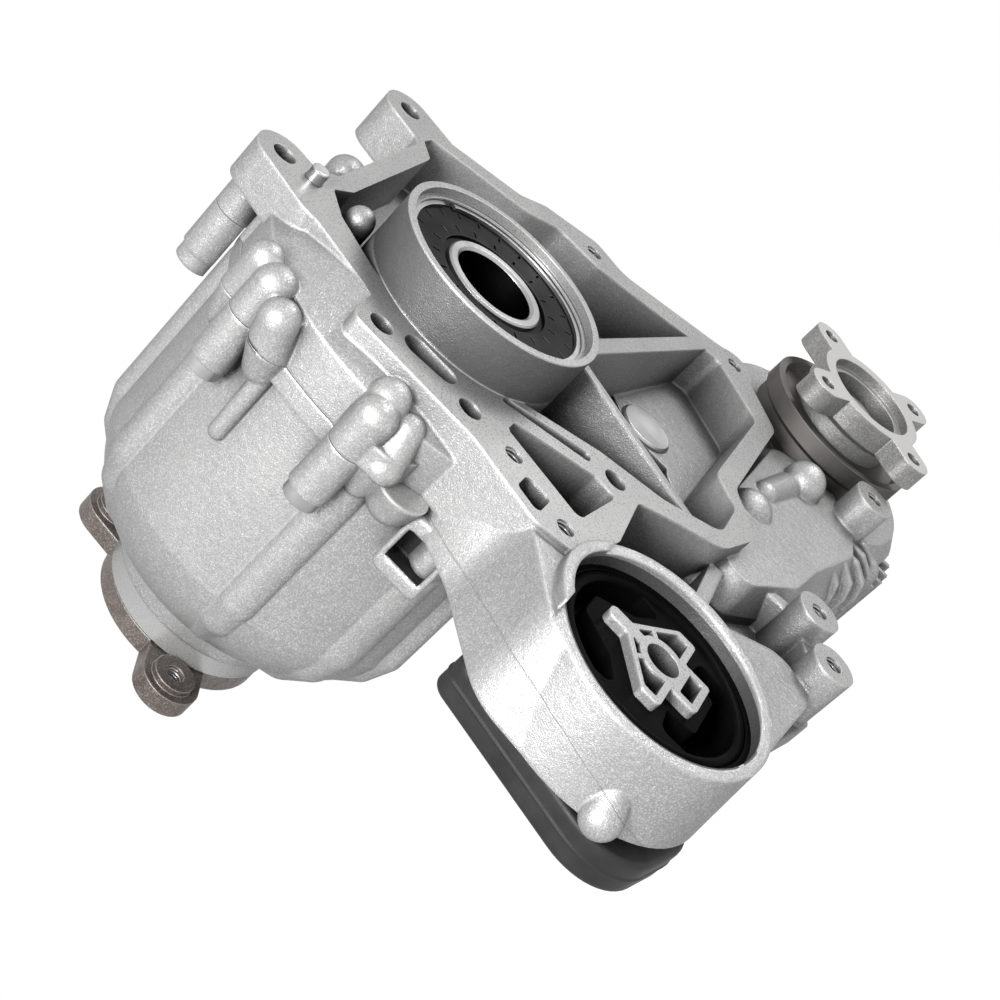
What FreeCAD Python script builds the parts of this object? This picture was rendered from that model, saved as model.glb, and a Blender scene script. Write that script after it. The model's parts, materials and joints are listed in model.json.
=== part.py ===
import FreeCAD, Part
import math
import os
import Sketcher
from FreeCAD import Placement, Rotation, Vector

# Gear driven transfer case. The origin lies on the main axis in the face that bolts to the
# gearbox. +Y runs back through the case, +Z is up and the front output is on the +X side.

doc = FreeCAD.newDocument("transfer_case")
sheet = doc.addObject("Spreadsheet::Sheet", "sizes")
nodes = []

# Driving dimensions in mm, degrees or plain counts: alias, value, meaning.
DIMENSIONS = [
    ("joint_y", 33, "plane of the joint between the two castings"),
    ("floor_y", 28, "depth of the cavity floor in front of the gears"),
    ("wall", 5, "wall of the castings round the gears"),
    ("fit", 0.05, "radial clearance of a running or seated fit"),
    ("gap", 0.3, "face to face clearance of neighbouring parts"),
    ("collar_front", 23.4, "height of the bearing collar over the gearbox face"),
    ("collar_r", 49.4, "outer radius of the collar"),
    ("collar_mouth_r", 46.2, "radius of the collar's mouth"),
    ("input_bearing_r", 44, "outer radius of the input bearing"),
    ("input_bearing_y", -14.6, "front face of the input bearing"),
    ("input_bearing_w", 17, "width of the input bearing"),
    ("hub_r", 23.6, "outer radius of the input hub"),
    ("hub_front", 17, "height of the hub over the gearbox face"),
    ("hub_bore_r", 18.7, "bore of the input hub"),
    ("hub_bore_depth", 75, "depth of the hub's bore"),
    ("shield_thick", 1.4, "thickness of the slotted bearing shield"),
    ("slot_w", 1.3, "width of a slot in the shield"),
    ("slot_l", 4, "length of a slot in the shield"),
    ("inner_slots", 18, "slots in the shield's inner ring"),
    ("outer_slots", 22, "slots in the shield's outer ring"),
    ("shaft_r", 22, "main shaft under the drive gear and the clutch hub"),
    ("tail_r", 20, "main shaft at the rear bearing"),
    ("spline_r", 15, "main shaft inside the rear flange"),
    ("thread_r", 12, "thread at the shaft ends"),
    ("module_mm", 2.5, "tooth module of the gear train"),
    ("drive_teeth", 44, "teeth of the drive gear"),
    ("idler_teeth", 64, "teeth of the idler gear"),
    ("driven_teeth", 44, "teeth of the driven gear"),
    ("pressure_angle", 20, "pressure angle of the teeth"),
    ("backlash", 0.12, "thinning of each tooth at the pitch circle"),
    ("gear_y", 40, "front face of the gears"),
    ("gear_w", 28, "face width of the gears"),
    ("idler_below", 2.5, "how far the idler sits below the line of the two outer axes"),
    ("front_x", 220, "front output axis, sideways"),
    ("front_z", -155, "front output axis, up"),
    ("tip_room", 2.5, "room between tooth tips and casting"),
    ("needle_r", 2.05, "radius of the drive gear's needles"),
    ("needles", 20, "number of the drive gear's needles"),
    ("idler_pin_r", 14, "radius of the idler's pin"),
    ("idler_roller_r", 3, "radius of the idler's rollers"),
    ("idler_rollers", 14, "number of the idler's rollers"),
    ("can_r", 85, "radius of the clutch can"),
    ("can_flange_r", 89, "radius of the can's joint flange"),
    ("can_inner_r", 79, "inner radius of the can"),
    ("can_end", 128, "where the can's dome begins"),
    ("neck_y", 184, "front of the rear neck"),
    ("neck_r", 42.5, "radius of the rear neck"),
    ("neck_end", 195, "rear face of the neck"),
    ("rear_bearing_r", 36, "outer radius of the rear bearing"),
    ("rear_bearing_y", 158, "front face of the rear bearing"),
    ("rear_bearing_w", 17, "width of the rear bearing"),
    ("rear_seal_r", 36, "outer radius of the rear shaft seal"),
    ("seal_depth", 12, "how far the rear seal's front lies inside the neck"),
    ("seal_w", 10, "width of a shaft seal"),
    ("rear_hub_r", 26, "rear flange's hub inside the seal"),
    ("rear_disc_r", 42, "disc of the rear flange"),
    ("rear_disc_w", 11, "thickness of the rear flange's disc"),
    ("rear_gap", 0.8, "gap between the neck and the rear flange"),
    ("rear_pcd_r", 54, "bolt circle radius of the rear flange"),
    ("rear_arms", 3, "arms of the rear flange"),
    ("rear_arm_angle", 82, "direction of the first arm"),
    ("rear_arm_r", 14, "radius of an arm's end"),
    ("rear_arm_w", 9, "thickness of an arm"),
    ("rear_hole_r", 4.25, "core radius of the arm's thread"),
    ("rear_pad_r", 10, "radius of the raised pad round the thread"),
    ("flange_face", -27, "front face of the front output flange"),
    ("flange_w", 12, "thickness of the front flange's lobes"),
    ("flange_disc_r", 31, "disc of the front flange"),
    ("flange_pcd_r", 40.6, "bolt circle radius of the front flange"),
    ("flange_lobe_r", 9.5, "radius of a lobe"),
    ("flange_hole_r", 4.1, "radius of the holes in the front flange"),
    ("flange_holes", 4, "lobes of the front flange"),
    ("flange_turn", 57, "direction of the first lobe"),
    ("pilot_r", 24.6, "pilot bore of the front flange"),
    ("pilot_depth", 5, "depth of the pilot bore"),
    ("flange_bore_r", 20.5, "bore behind the pilot"),
    ("flange_neck_r", 27, "neck of the front flange inside the seal"),
    ("front_seal_r", 36, "outer radius of the front seal"),
    ("shield_r", 43.5, "outer radius of the dust shield"),
    ("shield_rim_y", -7, "front edge of the dust shield"),
    ("shield_skirt_y", 11, "rear edge of the dust shield"),
    ("sheet_t", 1.8, "sheet thickness of the dust shield"),
    ("front_bearing_r", 40, "outer radius of the front output's front bearing"),
    ("front_bearing_y", 17, "front face of that bearing"),
    ("front_bearing_w", 16, "width of that bearing"),
    ("front_shaft_r", 20, "front output shaft in its front bearing"),
    ("pocket_bearing_r", 31, "outer radius of the front output's rear bearing"),
    ("pocket_bearing_y", 77, "front face of that bearing"),
    ("pocket_bearing_w", 15, "width of that bearing"),
    ("drum_r", 68, "outer radius of the clutch drum"),
    ("drum_wall", 4, "wall of the clutch drum"),
    ("drum_y", 80, "front face of the clutch drum"),
    ("drum_end", 130, "rear edge of the clutch drum"),
    ("clutch_hub_r", 40, "radius of the clutch hub's spline"),
    ("disc_w", 2, "thickness of a clutch disc"),
    ("disc_pitch", 4.6, "pitch of the clutch discs"),
    ("disc_y", 90, "front face of the first disc"),
    ("inner_discs", 7, "lined discs on the hub"),
    ("outer_discs", 6, "steel discs in the drum"),
    ("press_y", 122, "front face of the pressure plate"),
    ("press_w", 4.5, "thickness of the pressure plate"),
    ("piston_r", 60, "bore of the piston's cylinder"),
    ("piston_inner_r", 40, "inner radius of the piston's cylinder"),
    ("piston_y", 141, "front face of the piston's ring"),
    ("piston_w", 9, "width of the piston's ring"),
    ("sleeve_l", 7, "length of the piston's sleeve"),
    ("eye_x", -89, "mount eye, sideways"),
    ("eye_z", -147.7, "mount eye, up"),
    ("eye_r", 54, "outer radius of the mount eye"),
    ("eye_bore_r", 47.5, "bore of the mount eye"),
    ("eye_front", 5, "front of the eye on its outer side"),
    ("eye_back", 42, "rear face of the arm and the eye"),
    ("bush_wall", 2.6, "wall of the bush's outer ring"),
    ("bush_y", 6.5, "front edge of the bush"),
    ("bush_w", 33, "length of the bush"),
    ("core_y", 3, "front face of the bush's core"),
    ("core_bore_r", 7.9, "bolt hole in the core"),
    ("core_ring_r", 11.5, "ring round the bolt hole"),
    ("core_wall", 3, "walls of the core's lattice"),
    ("core_half_w", 27, "half width of the core"),
    ("core_roof", 20, "height of the core's roof over its hole"),
    ("core_foot", 8, "depth of the core's eaves under its hole"),
    ("core_box_half", 11, "half width of the core's lower cell"),
    ("core_box_z", 21, "depth of the core's lower cell"),
    ("core_knob_z", 27.5, "top of the core's knob"),
    ("stop_front", 50, "front face of the stop pad"),
    ("stop_w", 18, "thickness of the stop pad"),
    ("stop_half_l", 52, "half length of the stop pad"),
    ("stop_half_w", 37, "half width of the stop pad"),
    ("stop_tilt", 17, "lean of the stop pad"),
    ("stop_drop", 5, "how far the pad's middle sits below the eye"),
    ("bolt_hole_r", 5.5, "plain holes for the gearbox bolts"),
    ("tap_r", 4.3, "core radius of the threads in the gearbox face"),
    ("tap_depth", 22, "depth of those threads"),
    ("case_bolt_r", 4, "radius of the case bolts"),
    ("case_boss_r", 9, "radius of the case bolts' bosses"),
    ("case_boss_y", 58, "rear face of the case bolts' bosses"),
    ("long_boss", 25, "length of the bosses round the clutch can in front of the joint"),
    ("short_boss", 18, "length of the other bosses in front of the joint"),
    ("case_bolt_l", 11, "how far a case bolt reaches into the front casting"),
    ("bolt_head_r", 7.8, "radius of a case bolt's head"),
    ("bolt_head_w", 5.5, "height of a case bolt's head"),
    ("dowel_r", 4, "radius of the dowels"),
    ("dowel_foot_r", 4.3, "radius of the face dowel inside the casting"),
    ("dowel_proud", 6, "how far the face dowel stands out"),
    ("dowel_depth", 13.5, "how deep the face dowel sits"),
    ("plug_r", 9, "radius of the oil plugs' thread"),
    ("plug_head_r", 13, "radius of the oil plugs' flange"),
    ("fin_t", 3, "thickness of a cooling fin"),
    ("fin_pitch", 12.5, "pitch of the cooling fins"),
    ("fin_reach", 8, "height of the cooling fins"),
    ("fins", 9, "number of the cooling fins"),
]


class Size:
    """A number together with the spreadsheet formula that gives it."""

    def __init__(self, value, formula):
        self.value = float(value)
        self.formula = formula

    def __add__(self, other):
        other = as_size(other)
        return Size(self.value + other.value, f"({self.formula} + {other.formula})")

    def __radd__(self, other):
        return as_size(other) + self

    def __sub__(self, other):
        other = as_size(other)
        return Size(self.value - other.value, f"({self.formula} - {other.formula})")

    def __rsub__(self, other):
        return as_size(other) - self

    def __mul__(self, other):
        other = as_size(other)
        return Size(self.value * other.value, f"({self.formula} * {other.formula})")

    def __rmul__(self, other):
        return as_size(other) * self

    def __truediv__(self, other):
        other = as_size(other)
        return Size(self.value / other.value, f"({self.formula} / {other.formula})")

    def __neg__(self):
        return Size(-self.value, f"(-1 * {self.formula})")

    def __float__(self):
        return self.value


def as_size(thing):
    if isinstance(thing, Size):
        return thing
    return Size(thing, f"{float(thing):.6f}")


class Sizes:
    """Every named size of the sheet, as attributes."""


s = Sizes()
for row, (alias, value, meaning) in enumerate(DIMENSIONS, start=1):
    sheet.set(f"A{row}", str(value))
    sheet.set(f"B{row}", meaning)
    sheet.setAlias(f"A{row}", alias)
    setattr(s, alias, Size(value, f"sizes.{alias}"))
doc.recompute()


# Places worked out from the driving dimensions.

def root(size):
    return Size(math.sqrt(size.value), f"sqrt({size.formula})")


drive_r = s.module_mm * s.drive_teeth / 2
idler_r = s.module_mm * s.idler_teeth / 2
driven_r = s.module_mm * s.driven_teeth / 2
reach = root(s.front_x * s.front_x + s.front_z * s.front_z)
first_centre = drive_r + idler_r
second_centre = idler_r + driven_r
along = (reach * reach + first_centre * first_centre - second_centre * second_centre) / (2 * reach)
aside = root(first_centre * first_centre - along * along)
idler_x = (along * s.front_x + aside * s.front_z) / reach
idler_z = (along * s.front_z - aside * s.front_x) / reach
main = (as_size(0), as_size(0))
idler = (idler_x, idler_z)
front = (s.front_x, s.front_z)
eye = (s.eye_x, s.eye_z)
tooth_tip = s.module_mm


def polar(centre, radius, angle):
    """The point at a radius and an angle in degrees from +X towards +Z round a centre."""
    angle = as_size(angle)
    turn = math.radians(angle.value)
    radius = as_size(radius)
    across = Size(radius.value * math.cos(turn), f"({radius.formula} * cos({angle.formula} * 1 deg))")
    up = Size(radius.value * math.sin(turn), f"({radius.formula} * sin({angle.formula} * 1 deg))")
    return (centre[0] + across, centre[1] + up)


# Gearbox face: holes and threads, x and z.
PLAIN_HOLES = [(-67, 15), (-63.5, -31), (-13, -90)]
EAR_HOLES = [(-22, 94, 63), (110, 91, 24)]
TAPPED_HOLES = [(-64, -55), (-76, -88), (153, -11), (184, -96)]
FACE_DOWEL = (-20, 79)
# Threaded bosses below the gear case: x, z, front face and rear end.
LOW_BOSSES = [(44, -192, 0, 38), (15, -208, 0, 38), (171, -187.8, -8, 30)]
# Case bolts stand on arcs round the three axes: axis, radius, length of the boss in front, angles.
CASE_BOLTS = [
    (main, s.can_flange_r + 4, s.long_boss, (145, 186, 222, 62)),
    (idler, idler_r + tooth_tip + s.tip_room + s.wall + 6, s.short_boss, (8, 262, 215)),
    (front, driven_r + tooth_tip + s.tip_room + s.wall + 6, s.short_boss, (20, 335, 230)),
]
case_bolt_places = [polar(axis, radius, angle) for axis, radius, boss, angles in CASE_BOLTS
                    for angle in angles]
case_boss_lengths = [boss for axis, radius, boss, angles in CASE_BOLTS for angle in angles]
CASE_DOWEL_ANGLES = (165, 78)


# Parts that a lathe or a press makes: bodies and primitives bound to the sheet.

def bind(thing, values):
    for path, size in values.items():
        thing.setExpression(path, as_size(size).formula)


def keep(thing, label):
    """Makes an object a finished sub-part."""
    thing.Label = label
    nodes.append(thing)
    return thing


def rod(name, centre, radius, start, length):
    """A cylinder along +Y."""
    rod_object = doc.addObject("Part::Cylinder", name)
    rod_object.Placement = Placement(Vector(0, 0, 0), Rotation(Vector(1, 0, 0), -90))
    bind(rod_object, {
        "Radius": radius,
        "Height": length,
        "Placement.Base.x": centre[0],
        "Placement.Base.y": start,
        "Placement.Base.z": centre[1],
    })
    return rod_object


def bar(name, centre, angle, inner, outer, width, start, length):
    """A box along +Y that points outwards from an axis at an angle."""
    box = doc.addObject("Part::Box", name)
    corner = polar(polar(centre, inner, angle), width / 2, as_size(angle) - 90)
    box.Placement = Placement(Vector(0, 0, 0), Rotation(Vector(0, -1, 0), float(angle)))
    bind(box, {
        "Length": outer - inner,
        "Width": length,
        "Height": width,
        "Placement.Base.x": corner[0],
        "Placement.Base.y": start,
        "Placement.Base.z": corner[1],
        "Placement.Rotation.Angle": as_size(angle),
    })
    return box


def fused(name, parts):
    union = doc.addObject("Part::MultiFuse", name)
    union.Shapes = parts
    return union


def less(name, base, tools):
    cutter = tools[0]
    if len(tools) > 1:
        cutter = fused(name + "_tools", tools)
    difference = doc.addObject("Part::Cut", name)
    difference.Base = base
    difference.Tool = cutter
    return difference


def group(name, parts):
    compound = doc.addObject("Part::Compound", name)
    compound.Links = parts
    return compound


def origin_plane(body, role):
    for feature in body.Origin.OriginFeatures:
        if feature.Role == role:
            return feature


def turned(label, profile, centre=main):
    """A body of revolution about an axis along Y; the profile is radius and Y, point by point."""
    body = doc.addObject("PartDesign::Body", label)
    sketch = body.newObject("Sketcher::SketchObject", label + "_profile")
    sketch.AttachmentSupport = (origin_plane(body, "XY_Plane"), "")
    sketch.MapMode = "FlatFace"
    points = [(as_size(radius), as_size(y)) for radius, y in profile]
    count = len(points)
    for index in range(count):
        start, end = points[index], points[(index + 1) % count]
        sketch.addGeometry(Part.LineSegment(
            Vector(float(start[0]), float(start[1]), 0), Vector(float(end[0]), float(end[1]), 0)))
    for index in range(count):
        sketch.addConstraint(Sketcher.Constraint("Coincident", index, 2, (index + 1) % count, 1))
    for index, (radius, y) in enumerate(points):
        across = sketch.addConstraint(Sketcher.Constraint("DistanceX", -1, 1, index, 1, float(radius)))
        height = sketch.addConstraint(Sketcher.Constraint("DistanceY", -1, 1, index, 1, float(y)))
        sketch.setExpression(f"Constraints[{across}]", radius.formula)
        sketch.setExpression(f"Constraints[{height}]", y.formula)
    turn = body.newObject("PartDesign::Revolution", label + "_turn")
    turn.Profile = sketch
    turn.ReferenceAxis = (sketch, ["V_Axis"])
    turn.Angle = 360
    body.Tip = turn
    bind(body, {"Placement.Base.x": centre[0], "Placement.Base.z": centre[1]})
    return body


def ring(label, centre, inner, outer, start, width):
    inner, outer, start, width = (as_size(item) for item in (inner, outer, start, width))
    return turned(label, [(inner, start), (outer, start), (outer, start + width), (inner, start + width)],
                  centre)


def roller_ring(name, centre, pitch_r, radius, count, start, length):
    """Rollers along Y, spaced round an axis."""
    rollers = []
    for index in range(int(count)):
        place = polar(centre, pitch_r, 360 * index / int(count))
        rollers.append(rod(f"{name}_{index}", place, radius, start, length))
    return keep(group(name, rollers), name)


def ball_bearing(name, centre, bore, outer, start, width, balls):
    """Outer race, inner race and balls; the races are grooved for the balls."""
    pitch_r = (bore + outer) / 2
    ball_r = (outer - bore) * 0.3
    middle = start + width / 2
    land = (outer - bore) * 0.26
    races = {
        "outer_race": ring(name + "_outer_blank", centre, outer - s.fit - land, outer - s.fit, start, width),
        "inner_race": ring(name + "_inner_blank", centre, bore + s.fit, bore + s.fit + land, start, width),
    }
    for race, blank in races.items():
        groove = doc.addObject("Part::Torus", f"{name}_{race}_groove")
        groove.Placement = Placement(Vector(0, 0, 0), Rotation(Vector(1, 0, 0), -90))
        bind(groove, {
            "Radius1": pitch_r,
            "Radius2": ball_r + s.fit,
            "Placement.Base.x": centre[0],
            "Placement.Base.y": middle,
            "Placement.Base.z": centre[1],
        })
        keep(less(f"{name}_{race}", blank, [groove]), f"{name}_{race}")
    spheres = []
    for index in range(balls):
        ball = doc.addObject("Part::Sphere", f"{name}_ball_{index}")
        place = polar(centre, pitch_r, 360 * index / balls)
        bind(ball, {
            "Radius": ball_r,
            "Placement.Base.x": place[0],
            "Placement.Base.y": middle,
            "Placement.Base.z": place[1],
        })
        spheres.append(ball)
    keep(group(f"{name}_balls", spheres), f"{name}_balls")


def nut(label, centre, start, width, flats, bore):
    """A hexagon nut on a shaft end."""
    prism = doc.addObject("Part::Prism", label + "_hexagon")
    prism.Polygon = 6
    prism.Placement = Placement(Vector(0, 0, 0), Rotation(Vector(1, 0, 0), -90))
    bind(prism, {
        "Circumradius": flats / math.sqrt(3),
        "Height": width,
        "Placement.Base.x": centre[0],
        "Placement.Base.y": start,
        "Placement.Base.z": centre[1],
    })
    hole = rod(label + "_hole", centre, bore, start - 1, width + 2)
    return keep(less(label, prism, [hole]), label)


def input_group():
    """Slotted shield, snap ring and input bearing in the collar."""
    bearing_y = s.input_bearing_y
    plate_y = bearing_y - s.gap - s.shield_thick
    blank = ring("slotted_shield_blank", main, s.hub_r + 3, s.input_bearing_r - s.fit, plate_y,
                 s.shield_thick)
    slots = []
    for radius, count in ((as_size(30.4), s.inner_slots), (as_size(39.3), s.outer_slots)):
        for index in range(int(float(count))):
            angle = 360 * index / int(float(count)) + 5
            slots.append(bar(f"shield_slot_{len(slots)}", main, angle, radius - s.slot_l / 2,
                             radius + s.slot_l / 2, s.slot_w, plate_y - 1, s.shield_thick + 2))
    keep(less("slotted_shield", blank, slots), "slotted_shield")
    snap = ring("snap_ring_blank", main, s.input_bearing_r - 2.2, s.input_bearing_r + 1.4, plate_y - 2,
                as_size(1.8))
    opening = bar("snap_ring_gap", main, 62, s.input_bearing_r - 4, s.input_bearing_r + 3, as_size(7),
                  plate_y - 3, as_size(4))
    keep(less("snap_ring", snap, [opening]), "snap_ring")
    ball_bearing("input_bearing", main, s.hub_r, s.input_bearing_r, bearing_y, s.input_bearing_w, 11)


def main_shaft():
    bore_end = s.hub_bore_depth - s.hub_front
    flange_rear = s.neck_end + s.rear_gap + s.rear_disc_w
    keep(turned("main_shaft", [
        (s.hub_bore_r, -s.hub_front + 1.2),
        (s.hub_bore_r + 1.2, -s.hub_front),
        (s.hub_r - 0.8, -s.hub_front),
        (s.hub_r, -s.hub_front + 0.8),
        (s.hub_r, s.gear_y - 3),
        (s.shaft_r, s.gear_y - 3),
        (s.shaft_r, s.press_y + 15),
        (s.tail_r, s.press_y + 15),
        (s.tail_r, s.rear_bearing_y + s.rear_bearing_w),
        (s.spline_r, s.rear_bearing_y + s.rear_bearing_w),
        (s.spline_r, flange_rear - 4),
        (s.thread_r, flange_rear - 4),
        (s.thread_r, flange_rear + 11),
        (0, flange_rear + 11),
        (0, bore_end + 8),
        (s.hub_bore_r, bore_end),
    ]), "main_shaft")


def clutch():
    """Drum with steel discs, hub with lined discs, pressure plate, thrust bearing and piston."""
    inner = s.drum_r - s.drum_wall
    keep(turned("clutch_drum", [
        (s.shaft_r + 2 * s.needle_r + s.fit, s.drum_y),
        (s.drum_r, s.drum_y),
        (s.drum_r, s.drum_end),
        (inner, s.drum_end),
        (inner, s.drum_y + s.drum_wall),
        (s.shaft_r + 2 * s.needle_r + s.fit, s.drum_y + s.drum_wall),
    ]), "clutch_drum")
    hub_web = s.disc_y + 14
    keep(turned("clutch_hub", [
        (s.shaft_r + s.fit, s.drum_y + s.drum_wall + 1),
        (s.shaft_r + 6, s.drum_y + s.drum_wall + 1),
        (s.shaft_r + 6, hub_web),
        (s.clutch_hub_r - 4, hub_web),
        (s.clutch_hub_r - 4, s.disc_y - 2),
        (s.clutch_hub_r, s.disc_y - 2),
        (s.clutch_hub_r, s.press_y - 1),
        (s.clutch_hub_r - 4, s.press_y - 1),
        (s.clutch_hub_r - 4, hub_web + 6),
        (s.shaft_r + 6, hub_web + 6),
        (s.shaft_r + 6, s.press_y),
        (s.shaft_r + s.fit, s.press_y),
    ]), "clutch_hub")
    lined = [ring(f"lined_disc_{index}", main, s.clutch_hub_r + s.fit, inner - 1.6,
                  s.disc_y + s.disc_pitch * index, s.disc_w) for index in range(int(float(s.inner_discs)))]
    keep(group("lined_clutch_discs", lined), "lined_clutch_discs")
    steel = [ring(f"steel_disc_{index}", main, s.clutch_hub_r + 2, inner - s.fit,
                  s.disc_y + s.disc_pitch * (index + 0.5), s.disc_w)
             for index in range(int(float(s.outer_discs)))]
    keep(group("steel_clutch_discs", steel), "steel_clutch_discs")
    keep(ring("pressure_plate", main, s.clutch_hub_r + 2, inner - s.fit, s.press_y, s.press_w),
         "pressure_plate")
    bearing_y = s.press_y + s.press_w + s.gap
    bearing_w = s.piston_y - s.sleeve_l - bearing_y
    step = (s.piston_r - s.piston_inner_r) * 0.2
    sleeve_in = s.piston_inner_r + step
    sleeve_out = s.piston_r - step
    keep(ring("thrust_bearing", main, sleeve_in, sleeve_out, bearing_y, bearing_w), "thrust_bearing")
    keep(turned("clutch_piston", [
        (s.piston_inner_r + s.fit, s.piston_y),
        (sleeve_in, s.piston_y),
        (sleeve_in, s.piston_y - s.sleeve_l),
        (sleeve_out, s.piston_y - s.sleeve_l),
        (sleeve_out, s.piston_y),
        (s.piston_r - s.fit, s.piston_y),
        (s.piston_r - s.fit, s.piston_y + s.piston_w),
        (s.piston_inner_r + s.fit, s.piston_y + s.piston_w),
    ]), "clutch_piston")


def rear_output():
    """Rear bearing, seal, three armed flange and its nut."""
    ball_bearing("rear_bearing", main, s.tail_r, s.rear_bearing_r, s.rear_bearing_y, s.rear_bearing_w, 9)
    seal_y = s.neck_end - s.seal_depth
    keep(turned("rear_seal", [
        (s.rear_hub_r + s.fit, seal_y + 3),
        (s.rear_hub_r + 2, seal_y),
        (s.rear_seal_r - s.fit, seal_y),
        (s.rear_seal_r - s.fit, seal_y + s.seal_w),
        (s.rear_hub_r + 3, seal_y + s.seal_w),
        (s.rear_hub_r + s.fit, seal_y + 6),
    ]), "rear_seal")
    disc_y = s.neck_end + s.rear_gap
    hub_y = s.rear_bearing_y + s.rear_bearing_w + 0.02
    hub = turned("rear_flange_hub", [
        (s.spline_r + s.fit, hub_y),
        (s.rear_hub_r, hub_y),
        (s.rear_hub_r, disc_y),
        (s.rear_disc_r, disc_y),
        (s.rear_disc_r, disc_y + s.rear_disc_w - 2),
        (s.rear_disc_r - 3, disc_y + s.rear_disc_w),
        (s.rear_disc_r - 12, disc_y + s.rear_disc_w),
        (s.rear_disc_r - 14, disc_y + s.rear_disc_w - 3),
        (s.spline_r + s.fit, disc_y + s.rear_disc_w - 3),
    ])
    arms = [hub]
    holes = []
    count = int(float(s.rear_arms))
    for index in range(count):
        angle = s.rear_arm_angle + 360 * index / count
        tip = polar(main, s.rear_pcd_r, angle)
        arms.append(rod(f"rear_arm_end_{index}", tip, s.rear_arm_r, disc_y, s.rear_arm_w))
        arms.append(rod(f"rear_arm_pad_{index}", tip, s.rear_pad_r, disc_y - 3, s.rear_arm_w + 5))
        arms.append(bar(f"rear_arm_{index}", main, angle, s.rear_disc_r - 12, s.rear_pcd_r,
                        2 * s.rear_arm_r, disc_y, s.rear_arm_w))
        holes.append(rod(f"rear_arm_hole_{index}", tip, s.rear_hole_r, disc_y - 8, s.rear_arm_w + 16))
    keep(less("rear_output_flange", fused("rear_flange_blank", arms), holes), "rear_output_flange")
    nut_y = disc_y + s.rear_disc_w - 3
    nut("rear_flange_nut", main, nut_y, as_size(10), as_size(36), s.thread_r + s.fit)


def front_output():
    """Shaft, bearings, seal, flange with its nut and the dust shield."""
    shaft_front = s.flange_face + 12
    flange_web = s.flange_face + 21
    shoulder = flange_web + 2 * s.gap
    collar_y = s.front_bearing_y + s.front_bearing_w + 0.02
    neck_end = s.front_bearing_y - 0.02
    keep(turned("front_output_shaft", [
        (0, shaft_front),
        (s.thread_r - 1, shaft_front),
        (s.thread_r, shaft_front + 1),
        (s.thread_r, shoulder),
        (s.spline_r, shoulder),
        (s.spline_r, neck_end),
        (s.front_shaft_r, neck_end),
        (s.front_shaft_r, collar_y),
        (s.front_shaft_r + 5, collar_y),
        (s.front_shaft_r + 5, s.gear_y - 0.02),
        (s.front_shaft_r, s.gear_y - 0.02),
        (s.front_shaft_r, s.pocket_bearing_y),
        (s.spline_r, s.pocket_bearing_y),
        (s.spline_r, s.pocket_bearing_y + s.pocket_bearing_w),
        (0, s.pocket_bearing_y + s.pocket_bearing_w),
    ], front), "front_output_shaft")
    ball_bearing("front_bearing", front, s.front_shaft_r, s.front_bearing_r, s.front_bearing_y,
                 s.front_bearing_w, 10)
    ball_bearing("pocket_bearing", front, s.spline_r, s.pocket_bearing_r, s.pocket_bearing_y,
                 s.pocket_bearing_w, 9)
    keep(turned("front_seal", [
        (s.flange_neck_r + s.fit, as_size(7)),
        (s.flange_neck_r + 2, as_size(4)),
        (s.front_seal_r - s.fit, as_size(4)),
        (s.front_seal_r - s.fit, s.seal_w + 4),
        (s.flange_neck_r + 3, s.seal_w + 4),
        (s.flange_neck_r + s.fit, as_size(10)),
    ], front), "front_seal")
    back = s.flange_face + s.flange_w
    hub = turned("front_flange_hub", [
        (s.pilot_r, s.flange_face),
        (s.flange_disc_r, s.flange_face),
        (s.flange_disc_r, back),
        (s.flange_neck_r, back + 3),
        (s.flange_neck_r, neck_end),
        (s.spline_r + s.fit, neck_end),
        (s.spline_r + s.fit, flange_web + s.gap),
        (s.thread_r + 1, flange_web + s.gap),
        (s.thread_r + 1, flange_web - 1),
        (s.flange_bore_r, flange_web - 1),
        (s.flange_bore_r, s.flange_face + s.pilot_depth),
        (s.pilot_r, s.flange_face + s.pilot_depth),
    ], front)
    lobes = [hub]
    holes = []
    count = int(float(s.flange_holes))
    for index in range(count):
        angle = s.flange_turn + 360 * index / count
        place = polar(front, s.flange_pcd_r, angle)
        lobes.append(rod(f"front_lobe_{index}", place, s.flange_lobe_r, s.flange_face, s.flange_w))
        lobes.append(bar(f"front_lobe_neck_{index}", front, angle, s.flange_disc_r - 4, s.flange_pcd_r,
                         2 * s.flange_lobe_r, s.flange_face, s.flange_w))
        holes.append(rod(f"front_lobe_hole_{index}", place, s.flange_hole_r, s.flange_face - 2,
                         s.flange_w + 4))
    keep(less("front_output_flange", fused("front_flange_blank", lobes), holes), "front_output_flange")
    nut("front_flange_nut", front, flange_web - 9, as_size(8), as_size(32), s.thread_r + s.fit)
    rim, skirt, inner = s.shield_rim_y, s.shield_skirt_y, s.flange_neck_r + s.fit
    keep(turned("dust_shield", [
        (inner, rim + 3),
        (s.shield_r - 6, rim + 3),
        (s.shield_r - 4, rim),
        (s.shield_r, rim),
        (s.shield_r, rim + 9),
        (s.shield_r - 2, rim + 11),
        (s.shield_r - 2, skirt),
        (s.shield_r - 2 - s.sheet_t, skirt),
        (s.shield_r - 2 - s.sheet_t, rim + 3 + s.sheet_t),
        (inner, rim + 3 + s.sheet_t),
    ], front), "dust_shield")


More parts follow.
